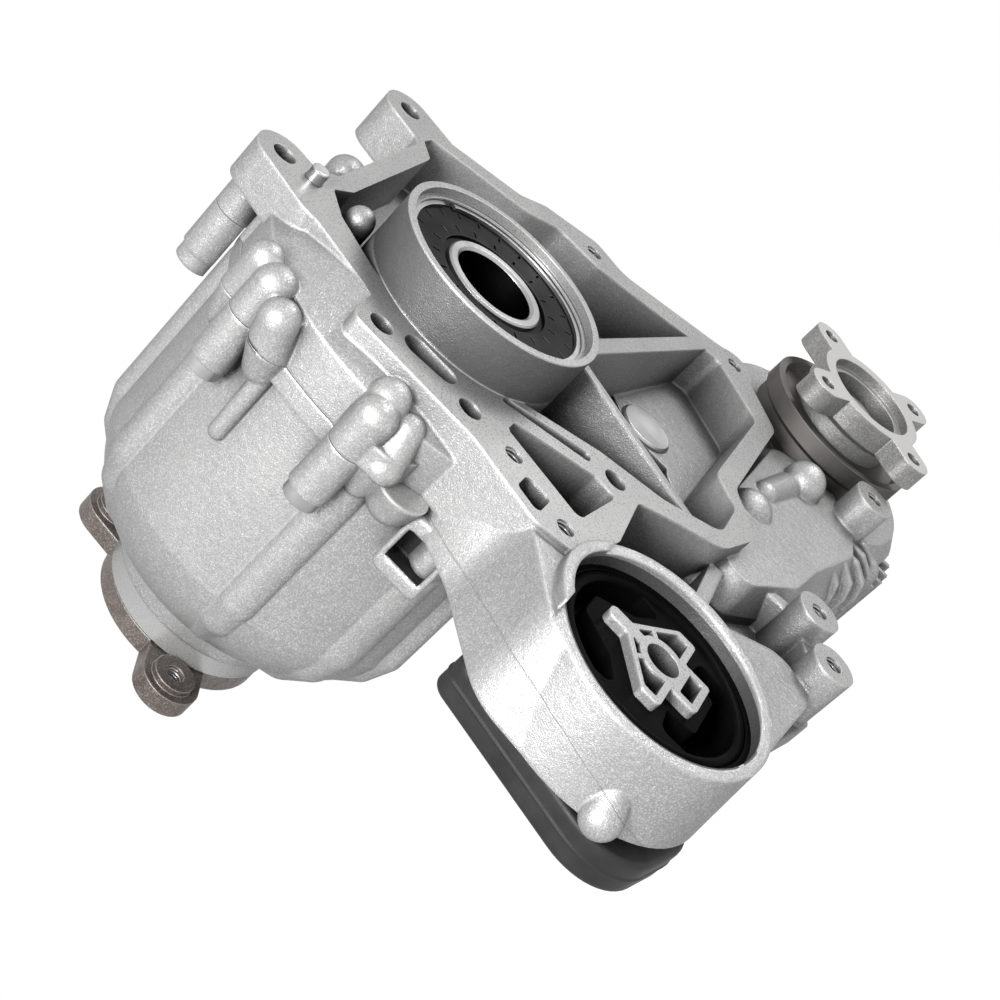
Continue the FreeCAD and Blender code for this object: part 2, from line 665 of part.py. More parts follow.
def idler_pin():
    start = s.floor_y - 6
    end = s.gear_y + s.gear_w + 12
    keep(turned("idler_pin", [
        (0, start), (s.idler_pin_r - 1, start), (s.idler_pin_r, start + 1),
        (s.idler_pin_r, end - 1), (s.idler_pin_r - 1, end), (0, end),
    ], idler), "idler_pin")
    pitch_r = s.idler_pin_r + s.idler_roller_r + s.fit
    roller_ring("idler_rollers", idler, pitch_r, s.idler_roller_r, float(s.idler_rollers), s.gear_y + 1,
                s.gear_w - 2)
    needle_pitch = s.shaft_r + s.needle_r + s.fit / 2
    roller_ring("drive_gear_needles", main, needle_pitch, s.needle_r - s.fit / 2, float(s.needles),
                s.gear_y + 1, s.gear_w + 4)


# Gears: the flanks are involutes drawn with chords, so each tooth stays inside its true form.

def tooth_half_angle(radius, pitch_r, base_r):
    """Half the angle that a tooth spans at a radius."""
    def involute(at_radius):
        slope = math.acos(min(1.0, base_r / at_radius))
        return math.tan(slope) - slope
    at_pitch = (math.pi * float(s.module_mm) / 2 - float(s.backlash)) / (2 * pitch_r)
    return at_pitch + involute(pitch_r) - involute(max(radius, base_r))


def gear_outline(teeth, turn):
    pitch_r = float(s.module_mm) * teeth / 2
    base_r = pitch_r * math.cos(math.radians(float(s.pressure_angle)))
    tip_r = pitch_r + float(s.module_mm)
    root_r = pitch_r - 1.25 * float(s.module_mm)
    radii = [root_r, pitch_r, tip_r]
    points = []
    for index in range(teeth):
        middle = turn + 2 * math.pi * index / teeth
        halves = [tooth_half_angle(radius, pitch_r, base_r) for radius in radii]
        sides = [(radius, -half) for radius, half in zip(radii, halves)]
        sides += [(radius, half) for radius, half in zip(reversed(radii), reversed(halves))]
        for radius, offset in sides:
            angle = middle + offset
            points.append(Vector(radius * math.cos(angle), 0, radius * math.sin(angle)))
    return Part.Face(Part.makePolygon(points + [points[0]]))


def gear(label, centre, teeth, turn, bore, hub_r, rim_w, hub_start, hub_end):
    """A spur gear with a recessed web between its rim and its hub."""
    blank = gear_outline(teeth, turn).extrude(Vector(0, float(s.gear_w), 0))
    blank.translate(Vector(0, float(s.gear_y), 0))
    rim_r = float(s.module_mm) * teeth / 2 - 1.25 * float(s.module_mm) - rim_w
    recess = float(s.gear_w) * 0.3
    y_axis = Vector(0, 1, 0)
    hub = Part.makeCylinder(hub_r, hub_end - hub_start, Vector(0, hub_start, 0), y_axis)
    for start in (float(s.gear_y), float(s.gear_y) + float(s.gear_w) - recess):
        if rim_r > hub_r + 2:
            blank = blank.cut(Part.makeCylinder(rim_r, recess, Vector(0, start, 0), y_axis))
    blank = blank.fuse(hub)
    blank = blank.cut(Part.makeCylinder(bore, 200, Vector(0, 0, 0), y_axis))
    feature = doc.addObject("Part::Feature", label)
    feature.Shape = blank.removeSplitter()
    feature.Placement = Placement(Vector(float(centre[0]), 0, float(centre[1])), Rotation())
    return keep(feature, label)


def mesh_turn(driver_turn, driver_teeth, driver, teeth, centre):
    """The turn that puts a tooth gap of the second gear on the driver's tooth along the line of centres."""
    line = math.atan2(float(centre[1]) - float(driver[1]), float(centre[0]) - float(driver[0]))
    phase = (line - driver_turn) * driver_teeth / (2 * math.pi)
    return line + math.pi + (phase + 0.5) * 2 * math.pi / teeth


def gear_train():
    start, end = float(s.gear_y), float(s.gear_y + s.gear_w)
    drive_teeth, idler_teeth, driven_teeth = (
        int(float(item)) for item in (s.drive_teeth, s.idler_teeth, s.driven_teeth))
    idler_turn = mesh_turn(0.0, drive_teeth, main, idler_teeth, idler)
    driven_turn = mesh_turn(idler_turn, idler_teeth, idler, driven_teeth, front)
    needle_bore = float(s.shaft_r + 2 * s.needle_r + s.fit)
    gear("drive_gear", main, drive_teeth, 0.0, needle_bore, needle_bore + 8, 6, start,
         float(s.drum_y))
    roller_bore = float(s.idler_pin_r + 2 * s.idler_roller_r + 2 * s.fit)
    gear("idler_gear", idler, idler_teeth, idler_turn, roller_bore, roller_bore + 9, 8,
         float(s.joint_y + s.gap), end + 2 - float(s.gap))
    gear("driven_gear", front, driven_teeth, driven_turn, float(s.front_shaft_r + s.fit),
         float(s.front_shaft_r) + 8, 6, start, float(s.pocket_bearing_y) - 0.02)


# Castings and rubber: free outlines with rounded corners, joined and cut as solids.

def rounded(points, y=0.0):
    """A face in the XZ direction from corners given as x, z and corner radius."""
    corners = [(Vector(float(x), y, float(z)), float(r)) for x, z, r in points]
    count = len(corners)
    starts, ends, middles = [], [], []
    for index, (corner, radius) in enumerate(corners):
        before = corners[index - 1][0] - corner
        after = corners[(index + 1) % count][0] - corner
        half = before.getAngle(after) / 2
        cut_back = min(radius / math.tan(half), before.Length * 0.49, after.Length * 0.49)
        radius = cut_back * math.tan(half)
        before.normalize()
        after.normalize()
        starts.append(corner + before * cut_back)
        ends.append(corner + after * cut_back)
        bisector = before + after
        bisector.normalize()
        middles.append(corner + bisector * (radius / math.sin(half) - radius))
    edges = []
    for index in range(count):
        if starts[index].distanceToPoint(ends[index]) > 0.01:
            edges.append(Part.Arc(starts[index], middles[index], ends[index]).toShape())
        following = starts[(index + 1) % count]
        if ends[index].distanceToPoint(following) > 0.01:
            edges.append(Part.LineSegment(ends[index], following).toShape())
    return Part.Face(Part.Wire(edges))


def slab(points, start, end):
    start, end = float(start), float(end)
    return rounded(points, start).extrude(Vector(0, end - start, 0))


def drum(centre, radius, start, end, end_radius=None):
    """A cylinder, or a cone when an end radius is given, along +Y."""
    base = Vector(float(centre[0]), float(start), float(centre[1]))
    length = float(end) - float(start)
    if end_radius is None:
        return Part.makeCylinder(float(radius), length, base, Vector(0, 1, 0))
    return Part.makeCone(float(radius), float(end_radius), length, base, Vector(0, 1, 0))


def link(first, first_r, second, second_r, start, end):
    """Two round ends of different size joined by their common tangents."""
    first_r, second_r = float(first_r), float(second_r)
    a = Vector(float(first[0]), float(start), float(first[1]))
    b = Vector(float(second[0]), float(start), float(second[1]))
    way = b - a
    distance = way.Length
    direction = math.atan2(way.z, way.x)
    spread = math.acos((first_r - second_r) / distance)
    points = []
    for centre, radius in ((a, first_r), (b, second_r)):
        for side in (1, -1):
            angle = direction + side * spread
            points.append(centre + Vector(radius * math.cos(angle), 0, radius * math.sin(angle)))
    quad = Part.Face(Part.makePolygon([points[0], points[1], points[3], points[2], points[0]]))
    web = quad.extrude(Vector(0, float(end) - float(start), 0))
    ends = [drum((c.x, c.z), r, start, end) for c, r in ((a, first_r), (b, second_r))]
    return web.fuse(ends)


def wall(first, second, thickness, first_front, second_front, back):
    """A straight rib between two points whose front edge slopes from one depth to another."""
    a = Vector(float(first[0]), 0, float(first[1]))
    b = Vector(float(second[0]), 0, float(second[1]))
    side = (b - a).cross(Vector(0, 1, 0))
    side.normalize()
    corners = [a + Vector(0, first_front, 0), b + Vector(0, second_front, 0),
               b + Vector(0, back, 0), a + Vector(0, back, 0)]
    corners = [corner - side * (thickness / 2) for corner in corners]
    return Part.Face(Part.makePolygon(corners + [corners[0]])).extrude(side * thickness)


def nosed(centre, radius, nose, end):
    """A boss along +Y that begins with a rounded nose."""
    radius, depth = float(radius), float(radius) * 0.8
    top, shoulder, bottom = float(nose), float(nose) + depth, float(end)
    middle = Vector(radius * 0.707, top + depth * 0.293, 0)
    profile = [
        Part.Arc(Vector(0, top, 0), middle, Vector(radius, shoulder, 0)),
        Part.LineSegment(Vector(radius, shoulder, 0), Vector(radius, bottom, 0)),
        Part.LineSegment(Vector(radius, bottom, 0), Vector(0, bottom, 0)),
        Part.LineSegment(Vector(0, bottom, 0), Vector(0, top, 0)),
    ]
    face = Part.Face(Part.Wire([edge.toShape() for edge in profile]))
    boss = face.revolve(Vector(0, 0, 0), Vector(0, 1, 0), 360)
    boss.translate(Vector(float(centre[0]), 0, float(centre[1])))
    return boss


def limb(points, radii):
    """Balls along a line of points, with cones between them that touch both neighbours."""
    balls = [Part.makeSphere(radius, Vector(*point)) for point, radius in zip(points, radii)]
    cones = []
    for index in range(len(points) - 1):
        a, b = Vector(*points[index]), Vector(*points[index + 1])
        first, second = radii[index], radii[index + 1]
        way = b - a
        length = way.Length
        way.normalize()
        lean = (first - second) / length
        across = math.sqrt(1 - lean * lean)
        start, end = a + way * (first * lean), b + way * (second * lean)
        if abs(first - second) < 0.001:
            cones.append(Part.makeCylinder(first, length, a, way))
        else:
            cones.append(Part.makeCone(first * across, second * across, (end - start).Length, start, way))
    return balls[0].fuse(balls[1:] + cones)


def joined(stages):
    """Fuses lists of shapes one list after the other."""
    body = stages[0][0]
    for index, shapes in enumerate(stages):
        body = body.fuse(shapes[1:] if index == 0 else shapes)
    return body.removeSplitter()


LAND = [(-37, 84, 4), (-46, 55, 10), (-55, 27, 3), (-78, 25, 6), (-78, -40, 6), (-90, -78, 10),
        (-84, -101, 8), (-50, -107, 5), (-12, -103, 5), (3, -122, 10), (18, -143, 15), (50, -152, 14),
        (73, -132, 10), (160, -131, 10), (180, -109, 6), (197, -98, 10), (187, -82, 6), (161, -28, 15),
        (165, -8, 10), (150, 20, 8), (136, 31, 10), (119, 66, 15), (112, 82, 4), (97, 82, 3),
        (88, 75, 5), (0, 76, 4), (-10, 84, 3)]
CAVITY = [(-12, 72, 3), (0, 67, 4), (86, 66, 5), (96, 75, 4), (105, 74, 4), (110, 62, 12),
          (128, 22, 10), (142, 8, 8), (144, -18, 8), (150, -35, 12), (173, -88, 6), (152, -121, 8),
          (70, -121, 8), (58, -137, 10), (28, -138, 12), (8, -110, 15), (-4, -78, 8), (-30, -34, 5),
          (-46, 0, 10), (-38, 35, 20), (-25, 60, 10)]
# The mount arm: its outline in front and behind, x, z and corner radius.
ARM_FRONT = [(-50, -26, 4), (-72, -42, 12), (-85, -76, 30), (-128, -105, 28), (-139, -145, 12),
             (-100, -165, 5), (-45, -100, 5)]
ARM_BACK = [(-50, -24, 4), (-71, -35, 12), (-99, -73, 40), (-140, -108, 30), (-145, -150, 12),
            (-100, -165, 5), (-45, -100, 5)]
# Round lumps and ribs of the castings: start and end point, each with its radius.
FRONT_LUMPS = [
    ((-71, 14, 63.5), 7.5, (-68, 34, 63.5), 8.5),
    ((-86, 20, 42), 8.5, (-83, 34, 38), 9.5),
    ((-84, 12, -8), 9, (-91, 26, -10), 10),
    ((-83, 16, -21), 7.5, (-90, 30, -24), 8.5),
    ((156, 7, -158), 11, (158, 28, -160), 14),
    ((95, 14, -145), 12, (97, 30, -146), 14),
    ((118, 11, -146), 7, (146, 12, -153), 8),
    ((50, 24, 86), 6, (49, 36, 84), 8),
]
REAR_LUMPS = [
    ((-68, 30, 64), 8.5, (-67, 46, 63), 6),
    ((-84, 30, 39), 9.5, (-80, 42, 36), 8),
    ((-81, 30, 33), 4.5, (-80, 76, 32), 4),
    ((-86, 30, -36), 12, (-82, 40, -35), 11),
    ((-89, 30, -22), 8, (-84, 44, -21), 7),
]
EYE_LUG = [((-133, 27, -165), 7, (-141, 38, -169), 8.5)]
COLLAR_POST = [((-9, 3, 56), 6.5, (-9, 27, 58), 9)]


def lumps(rows):
    return [limb([first, second], [first_r, second_r]) for first, first_r, second, second_r in rows]


def between(shapes, start, end):
    """The part of the shapes that lies between two depths."""
    space = Part.makeBox(800, float(end) - float(start), 800, Vector(-400, float(start), -400))
    return [shape.common(space) for shape in shapes]


# Front cover of the lower gears: its outline where it meets the casting, x, z and corner radius.
COVER = [(20, -143, 8), (20, -162, 10), (60, -188, 12), (95, -194, 10), (146, -210, 14), (178, -200, 16),
         (196, -168, 18), (176, -128, 12), (90, -124, 10)]


def mound():
    """The raised cover in front of the idler and the driven gear, with sloping sides."""
    top = [(100 + (x - 100) * 0.88, -162 + (z + 162) * 0.74, r) for x, z, r in COVER]
    face, foot = rounded(top).OuterWire, rounded(COVER).OuterWire
    face.translate(Vector(0, 8.5, 0))
    foot.translate(Vector(0, 23, 0))
    return Part.makeLoft([face, foot], True, True).fuse(slab(COVER, 23, s.joint_y))


# Fins over the cover's lower edge: x and the z of the edge.
FRONT_FINS = [(119, -203), (131.5, -209), (144, -214), (156.5, -215), (169, -213.5)]


def front_fin(x, edge):
    """A fin that starts on the cover's face and runs round its lower edge."""
    joint, thick = float(s.joint_y), float(s.fin_t) + 0.5
    side = [(10, -170), (10, edge + 12), (15, edge + 3), (23, edge), (joint, edge), (joint, -170)]
    corners = [Vector(x - thick / 2, y, z) for y, z in side]
    return Part.Face(Part.makePolygon(corners + [corners[0]])).extrude(Vector(thick, 0, 0))


def mount_arm():
    """The arm between the face and the eye, rounded along its front edge."""
    front, back = Vector(0, 3, 0), Vector(0, float(s.eye_back), 0)
    face = rounded(ARM_FRONT).OuterWire
    rear = rounded(ARM_BACK).OuterWire
    face.translate(front)
    rear.translate(back)
    return Part.makeLoft([face, rear], True, True)


def case_outline(room):
    """The three round casings and the webs between them, as radii round each axis."""
    drive = s.can_flange_r
    idle = idler_r + tooth_tip + s.tip_room + room
    driven = driven_r + tooth_tip + s.tip_room + room
    return drive, idle, driven


def front_housing():
    joint, floor = float(s.joint_y), float(s.floor_y)
    drive, idle, driven = (float(item) for item in case_outline(s.wall))
    solids = [
        slab(LAND, 0, joint),
        link((-22, 94), 13, (-28, 68), 16, 0, 19),
        drum((-22, 94), 9.5, 19, 56),
        drum((-22, 94), 8.5, 56, 63),
        link((110, 91), 13, (104, 68), 14, 0, 24),
        drum(main, 62, 0, 13, drive),
        drum(main, drive, 13, joint),
        drum(idler, idle - 12, joint - 19, joint - 9, idle),
        drum(idler, idle, joint - 9, joint),
        drum(front, driven - 6, joint - 17, joint - 9, driven),
        drum(front, driven, joint - 9, joint),
        drum(front, s.front_seal_r + 2.5, 2.5, 20),
        link(main, drive - 6, front, driven - 6, joint - 10, joint),
        slab([(-80, -195, 5), (15, -221, 6), (60, -204, 8), (125, -178, 5), (70, -110, 5), (-60, -70, 5)],
             joint - 5, joint + 6),
    ]
    webs = [
        mount_arm(),
        drum(eye, s.eye_r - 1.5, s.eye_front - 7, s.eye_back, s.eye_r + 2),
        slab([(-60, 4, 6), (-88, 2, 8), (-99, -10, 10), (-97, -26, 8), (-84, -33, 6), (-60, -34, 4)],
             22, joint),
        mound(),
        wall((-56, 27), (-84, 36), 3, 2, 16, joint),
        link(eye, s.eye_r - 1, (-8, -193), 17, 12, 38),
        wall((-35, -150), (24, -147), 7, 9, 11, joint),
        wall((15, -208), (44, -192), 6, 10, 10, joint),
        wall((44, -192), (52, -146), 7, 8, 16, joint),
        wall((15, -208), (-30, -196), 8, 12, 14, joint),
    ]
    bosses = []
    for x, z, face, back in LOW_BOSSES:
        bosses.append(drum((x, z), 11, face, back))
    for x, z in TAPPED_HOLES:
        bosses.append(drum((x, z), 11, 0, 26))
    for place, length in zip(case_bolt_places, map(float, case_boss_lengths)):
        bosses.append(nosed(place, s.case_boss_r, joint - length, joint))
    behind = [
        drum(main, drive + 1, joint, 80),
        drum(idler, idle + 1, joint, 90),
        drum(front, driven + 1, joint, 90),
        link(main, drive - 5, front, driven - 5, joint, 80),
    ]
    for place in case_bolt_places:
        behind.append(drum(place, s.case_boss_r + 1, joint, 80))
    fins = [front_fin(x, edge) for x, edge in FRONT_FINS]
    body = joined([solids, webs, bosses, fins, between(lumps(FRONT_LUMPS), -50, joint), lumps(EYE_LUG)])
    body = body.cut(behind)

    eye_cut = Part.makeBox(300, 60, 300, Vector(-150, -60, -150))
    eye_cut.rotate(Vector(0, 0, 0), Vector(0, 0, 1), -3.8)
    eye_cut.translate(Vector(float(s.eye_x), float(s.eye_front) - 3.5, float(s.eye_z) - 108))
    eye_zone = drum(eye, s.eye_r + 6, -20, 12)
    seal_boss = drum(front, s.front_seal_r + 2.5, -30, 30)
    cuts = [
        slab(CAVITY, -1, floor),
        eye_zone.common(eye_cut),
        drum(eye, s.eye_bore_r, -20, joint + 20),
        drum(front, s.shield_r + 1.5, -20, s.shield_skirt_y + 1).cut(seal_boss),
        slab([(-38, -36, 3.5), (-33, -36, 3), (-13, -76, 3.5), (-19, -78, 3)], -1, 26),
        slab([(-66, 6, 7), (-52, 6, 6), (-52, -20, 7), (-62, -20, 7)], -1, 28),
        slab([(-52, -46, 3), (-43, -46, 3), (-24, -83, 3), (-24, -95, 4), (-62, -90, 4)], -1, 24),
        slab([(-80, -64, 3), (-68, -64, 3), (-68, -77, 3), (-84, -77, 3)], -1, 20),
    ]
    body = body.cut(cuts)

    inside = [
        drum(main, s.collar_r, -s.collar_front, joint),
        wall((15, -40), (173, -77), 8, -16, 0, floor),
        wall((21, -44), (20, -134), 5, -12, 4, floor),
        drum((132, -98), 42, floor - 4, joint).common(slab(CAVITY, -1, joint)),
        drum((95, -124), 19, floor - 4, joint).common(slab(CAVITY, -1, joint)),
    ]
    body = joined([[body], inside, lumps(COLLAR_POST)])

    holes = [
        drum(main, s.collar_mouth_r, -s.collar_front - 1, s.input_bearing_y - 5),
        drum(main, s.input_bearing_r, -s.collar_front - 1, s.input_bearing_y + s.input_bearing_w + 1),
        drum(main, s.input_bearing_r + 1.6, s.input_bearing_y - 4, s.input_bearing_y - 1.5),
        drum(main, s.input_bearing_r - 6, 0, joint + 1),
        drum(idler, s.idler_pin_r + s.fit, floor - 6.3, joint + 1),
        drum(front, s.front_seal_r, -10, s.front_bearing_y),
        drum(front, s.front_bearing_r, s.front_bearing_y - 0.3, joint + 1),
        drum(FACE_DOWEL, s.dowel_foot_r + s.fit, -1, 14),
    ]
    for x, z in PLAIN_HOLES:
        holes.append(drum((x, z), s.bolt_hole_r, -1, s.tap_depth))
    for x, z, back in EAR_HOLES:
        holes.append(drum((x, z), s.bolt_hole_r, -1, back + 1))
    for x, z in TAPPED_HOLES:
        holes.append(drum((x, z), s.tap_r, -1, s.tap_depth))
    for x, z, face, back in LOW_BOSSES:
        holes.append(drum((x, z), s.tap_r, face - 1, face + float(s.tap_depth)))
    for place in case_bolt_places:
        holes.append(drum(place, s.case_bolt_r + s.fit, s.joint_y - s.case_bolt_l - 2, joint + 1))
    for place in case_dowel_places():
        holes.append(drum(place, s.dowel_r + s.fit, joint - 6, joint + 1))
    return body.cut(holes)


def case_dowel_places():
    return [polar(main, s.can_flange_r - 6, angle) for angle in CASE_DOWEL_ANGLES]


def can_solid(grow):
    """The clutch can with its rounded dome and neck, grown by a wall of ribs."""
    r, neck = float(s.can_r) + grow, float(s.neck_r) + grow * 0.5
    joint, can_end = float(s.joint_y), float(s.can_end)
    dome_end = float(s.neck_y) - 12
    profile = [
        Part.LineSegment(Vector(0, joint, 0), Vector(r, joint, 0)),
        Part.LineSegment(Vector(r, joint, 0), Vector(r, can_end, 0)),
        Part.Arc(Vector(r, can_end, 0), Vector(r * 0.875, can_end + 24, 0), Vector(neck + 5, dome_end, 0)),
        Part.LineSegment(Vector(neck + 5, dome_end, 0), Vector(neck + 3, float(s.neck_y) - 1, 0)),
        Part.LineSegment(Vector(neck + 3, float(s.neck_y) - 1, 0), Vector(0, float(s.neck_y) - 1, 0)),
        Part.LineSegment(Vector(0, float(s.neck_y) - 1, 0), Vector(0, joint, 0)),
    ]
    face = Part.Face(Part.Wire([edge.toShape() for edge in profile]))
    return face.revolve(Vector(0, 0, 0), Vector(0, 1, 0), 360)


# Round bars along the can: direction, radius and how far they stand out.
RIDGES = [(194, 9.5, 4.5), (137, 9.5, 4.5), (230, 13, 3.5), (250, 7.5, 4.5), (110, 8.5, 4.5), (75, 8.5, 4.5),
          (35, 8.5, 4.5), (0, 9, 4.5), (320, 8.5, 4.5)]


def ridge(angle, radius, rise):
    """A round bar along the can that bends over with its dome."""
    r = float(s.can_r) - radius + rise
    start, bend = float(s.joint_y) + radius + 2, float(s.can_end) - 4
    path = [(r, start), (r, bend), (r * 0.94, bend + 14), (r * 0.80, bend + 29), (r * 0.62, bend + 41)]
    radii = [radius, radius, radius, radius * 0.9, radius * 0.7]
    bar_shape = limb([(across, y, 0) for across, y in path], radii)
    bar_shape.rotate(Vector(0, 0, 0), Vector(0, -1, 0), angle)
    return bar_shape


def rear_housing():
    joint = float(s.joint_y)
    drive, idle, driven = (float(item) for item in case_outline(s.wall))
    cover_end = float(s.gear_y + s.gear_w) + 6
    solids = [
        can_solid(0),
        drum(main, drive, joint, joint + 9),
        drum(main, s.neck_r, float(s.neck_y) - 20, s.neck_end),
        drum(idler, idle, joint, cover_end - 6),
        drum(idler, idle, cover_end - 6, cover_end + 2, idle - 10),
        drum(idler, s.idler_pin_r + 12, cover_end, cover_end + 10),
        drum(front, driven, joint, cover_end - 4),
        drum(front, driven, cover_end - 4, cover_end + 4, driven - 9),
        drum(front, s.pocket_bearing_r + 6, cover_end, s.pocket_bearing_y + s.pocket_bearing_w + 6),
        link(main, drive - 6, front, driven - 6, joint, joint + 10),
    ]
    ridges = [ridge(*row) for row in RIDGES]
    bosses = [drum(place, s.case_boss_r, joint, s.case_boss_y) for place in case_bolt_places]
    bosses += [plug_boss(plug) for plug in PLUGS]
    bosses += [fin(index, driven) for index in range(int(float(s.fins)))]
    body = joined([solids, ridges, between(lumps(REAR_LUMPS), joint, 200), bosses])
    piston_room = float(s.piston_y + s.piston_w) + 2
    voids = [
        drum(main, s.can_inner_r, joint - 1, s.can_end),
        drum(main, s.can_inner_r, s.can_end, float(s.can_end) + 10, s.piston_r + 2),
        drum(main, s.piston_r, s.can_end, piston_room).cut(
            drum(main, s.piston_inner_r, float(s.can_end) + 10, piston_room)),
        drum(main, s.tail_r + 6, s.can_end, s.neck_y),
        drum(main, s.rear_bearing_r, s.rear_bearing_y - 0.02, s.neck_end + 1),
        drum(idler, idle - float(s.wall), joint - 1, cover_end - 4),
        drum(idler, s.idler_pin_r + s.fit, cover_end - 6, cover_end + 6.2),
        drum(front, driven - float(s.wall), joint - 1, cover_end - 4),
        drum(front, s.pocket_bearing_r, cover_end - 6, s.pocket_bearing_y + s.pocket_bearing_w + 1),
    ]
    for place in case_bolt_places:
        voids.append(drum(place, s.case_bolt_r + 0.4, joint - 1, s.case_boss_y + 1))
        voids.append(drum(place, s.bolt_head_r + 0.1, s.case_boss_y, 100))
    for place in case_dowel_places():
        voids.append(drum(place, s.dowel_r + s.fit, joint - 1, joint + 8))
    for plug in PLUGS:
        voids.append(plug_hole(plug))
    return body.cut(voids)


# Oil plugs in the rear wall of the idler's cover: direction from the idler's axis and distance.
PLUGS = [(285, 55), (20, 55)]


def plug_place(plug):
    angle, distance = plug
    return polar(idler, distance, angle)


def plug_boss(plug):
    cover_end = float(s.gear_y + s.gear_w) + 6
    return drum(plug_place(plug), s.plug_head_r + 1.5, cover_end - 3, cover_end + 5)


def plug_hole(plug):
    cover_end = float(s.gear_y + s.gear_w) + 6
    return drum(plug_place(plug), s.plug_r + s.fit, cover_end - 8, cover_end + 9)


def oil_plugs():
    cover_end = s.gear_y + s.gear_w + 6
    plugs = []
    for index, plug in enumerate(PLUGS):
        place = plug_place(plug)
        blank = fused(f"plug_blank_{index}", [
            rod(f"plug_thread_{index}", place, s.plug_r, cover_end - 4, as_size(9)),
            rod(f"plug_flange_{index}", place, s.plug_head_r, cover_end + 5, as_size(4)),
        ])
        socket = rod(f"plug_socket_{index}", place, as_size(4), cover_end + 3, as_size(8))
        plugs.append(less(f"plug_{index}", blank, [socket]))
    keep(group("oil_plugs", plugs), "oil_plugs")


def fin(index, radius):
    """A cooling fin under the front output's cover, across X."""
    count = int(float(s.fins))
    x = float(s.front_x) + (index - (count - 1) / 2) * float(s.fin_pitch)
    start, end = float(s.joint_y), float(s.gear_y + s.gear_w) + 4
    plate = Part.makeBox(float(s.fin_t), end - start, 120,
                         Vector(x - float(s.fin_t) / 2, start, float(s.front_z) - 120))
    return plate.common(drum(front, radius + float(s.fin_reach), start, end))


def casting(label, shape):
    feature = doc.addObject("Part::Feature", label)
    feature.Shape = shape
    return keep(feature, label)


def case_fasteners():
    bolts = []
    for index, place in enumerate(case_bolt_places):
        head_y = s.case_boss_y + 0.02
        blank = fused(f"case_bolt_blank_{index}", [
            rod(f"case_bolt_shank_{index}", place, s.case_bolt_r, s.joint_y - s.case_bolt_l,
                head_y - s.joint_y + s.case_bolt_l),
            rod(f"case_bolt_head_{index}", place, s.bolt_head_r, head_y, s.bolt_head_w),
        ])
        socket = rod(f"case_bolt_socket_{index}", place, as_size(3), head_y + 2.5, as_size(5))
        bolts.append(less(f"case_bolt_{index}", blank, [socket]))
    keep(group("case_bolts", bolts), "case_bolts")
    keep(turned("gearbox_dowel", [
        (0, -s.dowel_proud),
        (s.dowel_r - 0.6, -s.dowel_proud),
        (s.dowel_r, -s.dowel_proud + 0.6),
        (s.dowel_r, -s.gap),
        (s.dowel_r - 0.3, -s.gap),
        (s.dowel_r - 0.3, s.gap),
        (s.dowel_foot_r, s.gap),
        (s.dowel_foot_r, s.dowel_depth),
        (0, s.dowel_depth),
    ], FACE_DOWEL), "gearbox_dowel")
    pins = [rod(f"case_dowel_{index}", place, s.dowel_r, s.joint_y - 5.5, as_size(13))
            for index, place in enumerate(case_dowel_places())]
    keep(group("case_dowels", pins), "case_dowels")


def core_outline(grow):
    """The bush core seen from the front: knob, roof, eaves and lower box."""
    knob = 3.5
    x, z = s.eye_x.value, s.eye_z.value
    half, roof = float(s.core_half_w) + grow, float(s.core_roof) + grow
    foot, box_half = float(s.core_foot) + grow, float(s.core_box_half) + grow
    box_z, knob_z = float(s.core_box_z) + grow, float(s.core_knob_z) + grow
    slope = (float(s.core_roof) - 1) / float(s.core_half_w)
    neck_z = roof - (knob + grow) * slope
    right = [(knob + grow, knob_z, 3), (knob + grow, neck_z, 1), (half, 1, 2), (half, -foot, 2),
             (box_half, -foot, 1), (box_half, -box_z, 2)]
    left = [(-px, pz, r) for px, pz, r in reversed(right)]
    return [(x + px, z + pz, r) for px, pz, r in right + left]


def mount_core():
    """Cast lattice with a ring round the bolt hole and five open cells."""
    x, z = s.eye_x.value, s.eye_z.value
    t = float(s.core_wall)
    start, end = float(s.core_y), float(s.stop_front)
    half, foot = float(s.core_half_w), float(s.core_foot)
    box_half, box_z = float(s.core_box_half), float(s.core_box_z)
    roof = float(s.core_roof)
    ring_r = float(s.core_ring_r)
    body = slab(core_outline(0), start, end)
    side = [(t / 2 + 1.5, roof - 2 * t + 1, 1), (half - t, t * 0.3, 1.5), (half - t, -foot + t, 1),
            (t / 2 + 1.5, -foot + t, 1)]
    cells = []
    for sign in (1, -1):
        cells.append(slab([(x + sign * px, z + pz, r) for px, pz, r in side], start - 1, end - 8))
    cells.append(slab([(x - box_half + t, z - ring_r, 1), (x + box_half - t, z - ring_r, 1),
                       (x + box_half - t, z - box_z + t, 1), (x - box_half + t, z - box_z + t, 1)],
                      start - 1, end - 8))
    body = body.cut(cells)
    spokes = [wall((x, z), polar(eye, half - 4, angle), 2.2, start, start, end) for angle in (38, 142)]
    inside = slab(core_outline(-0.5), start, end)
    spokes = [spoke.common(inside) for spoke in spokes]
    body = joined([[body], [drum(eye, ring_r, start, end)] + spokes])
    return body.cut(drum(eye, s.core_bore_r, start - 1, end + 1))


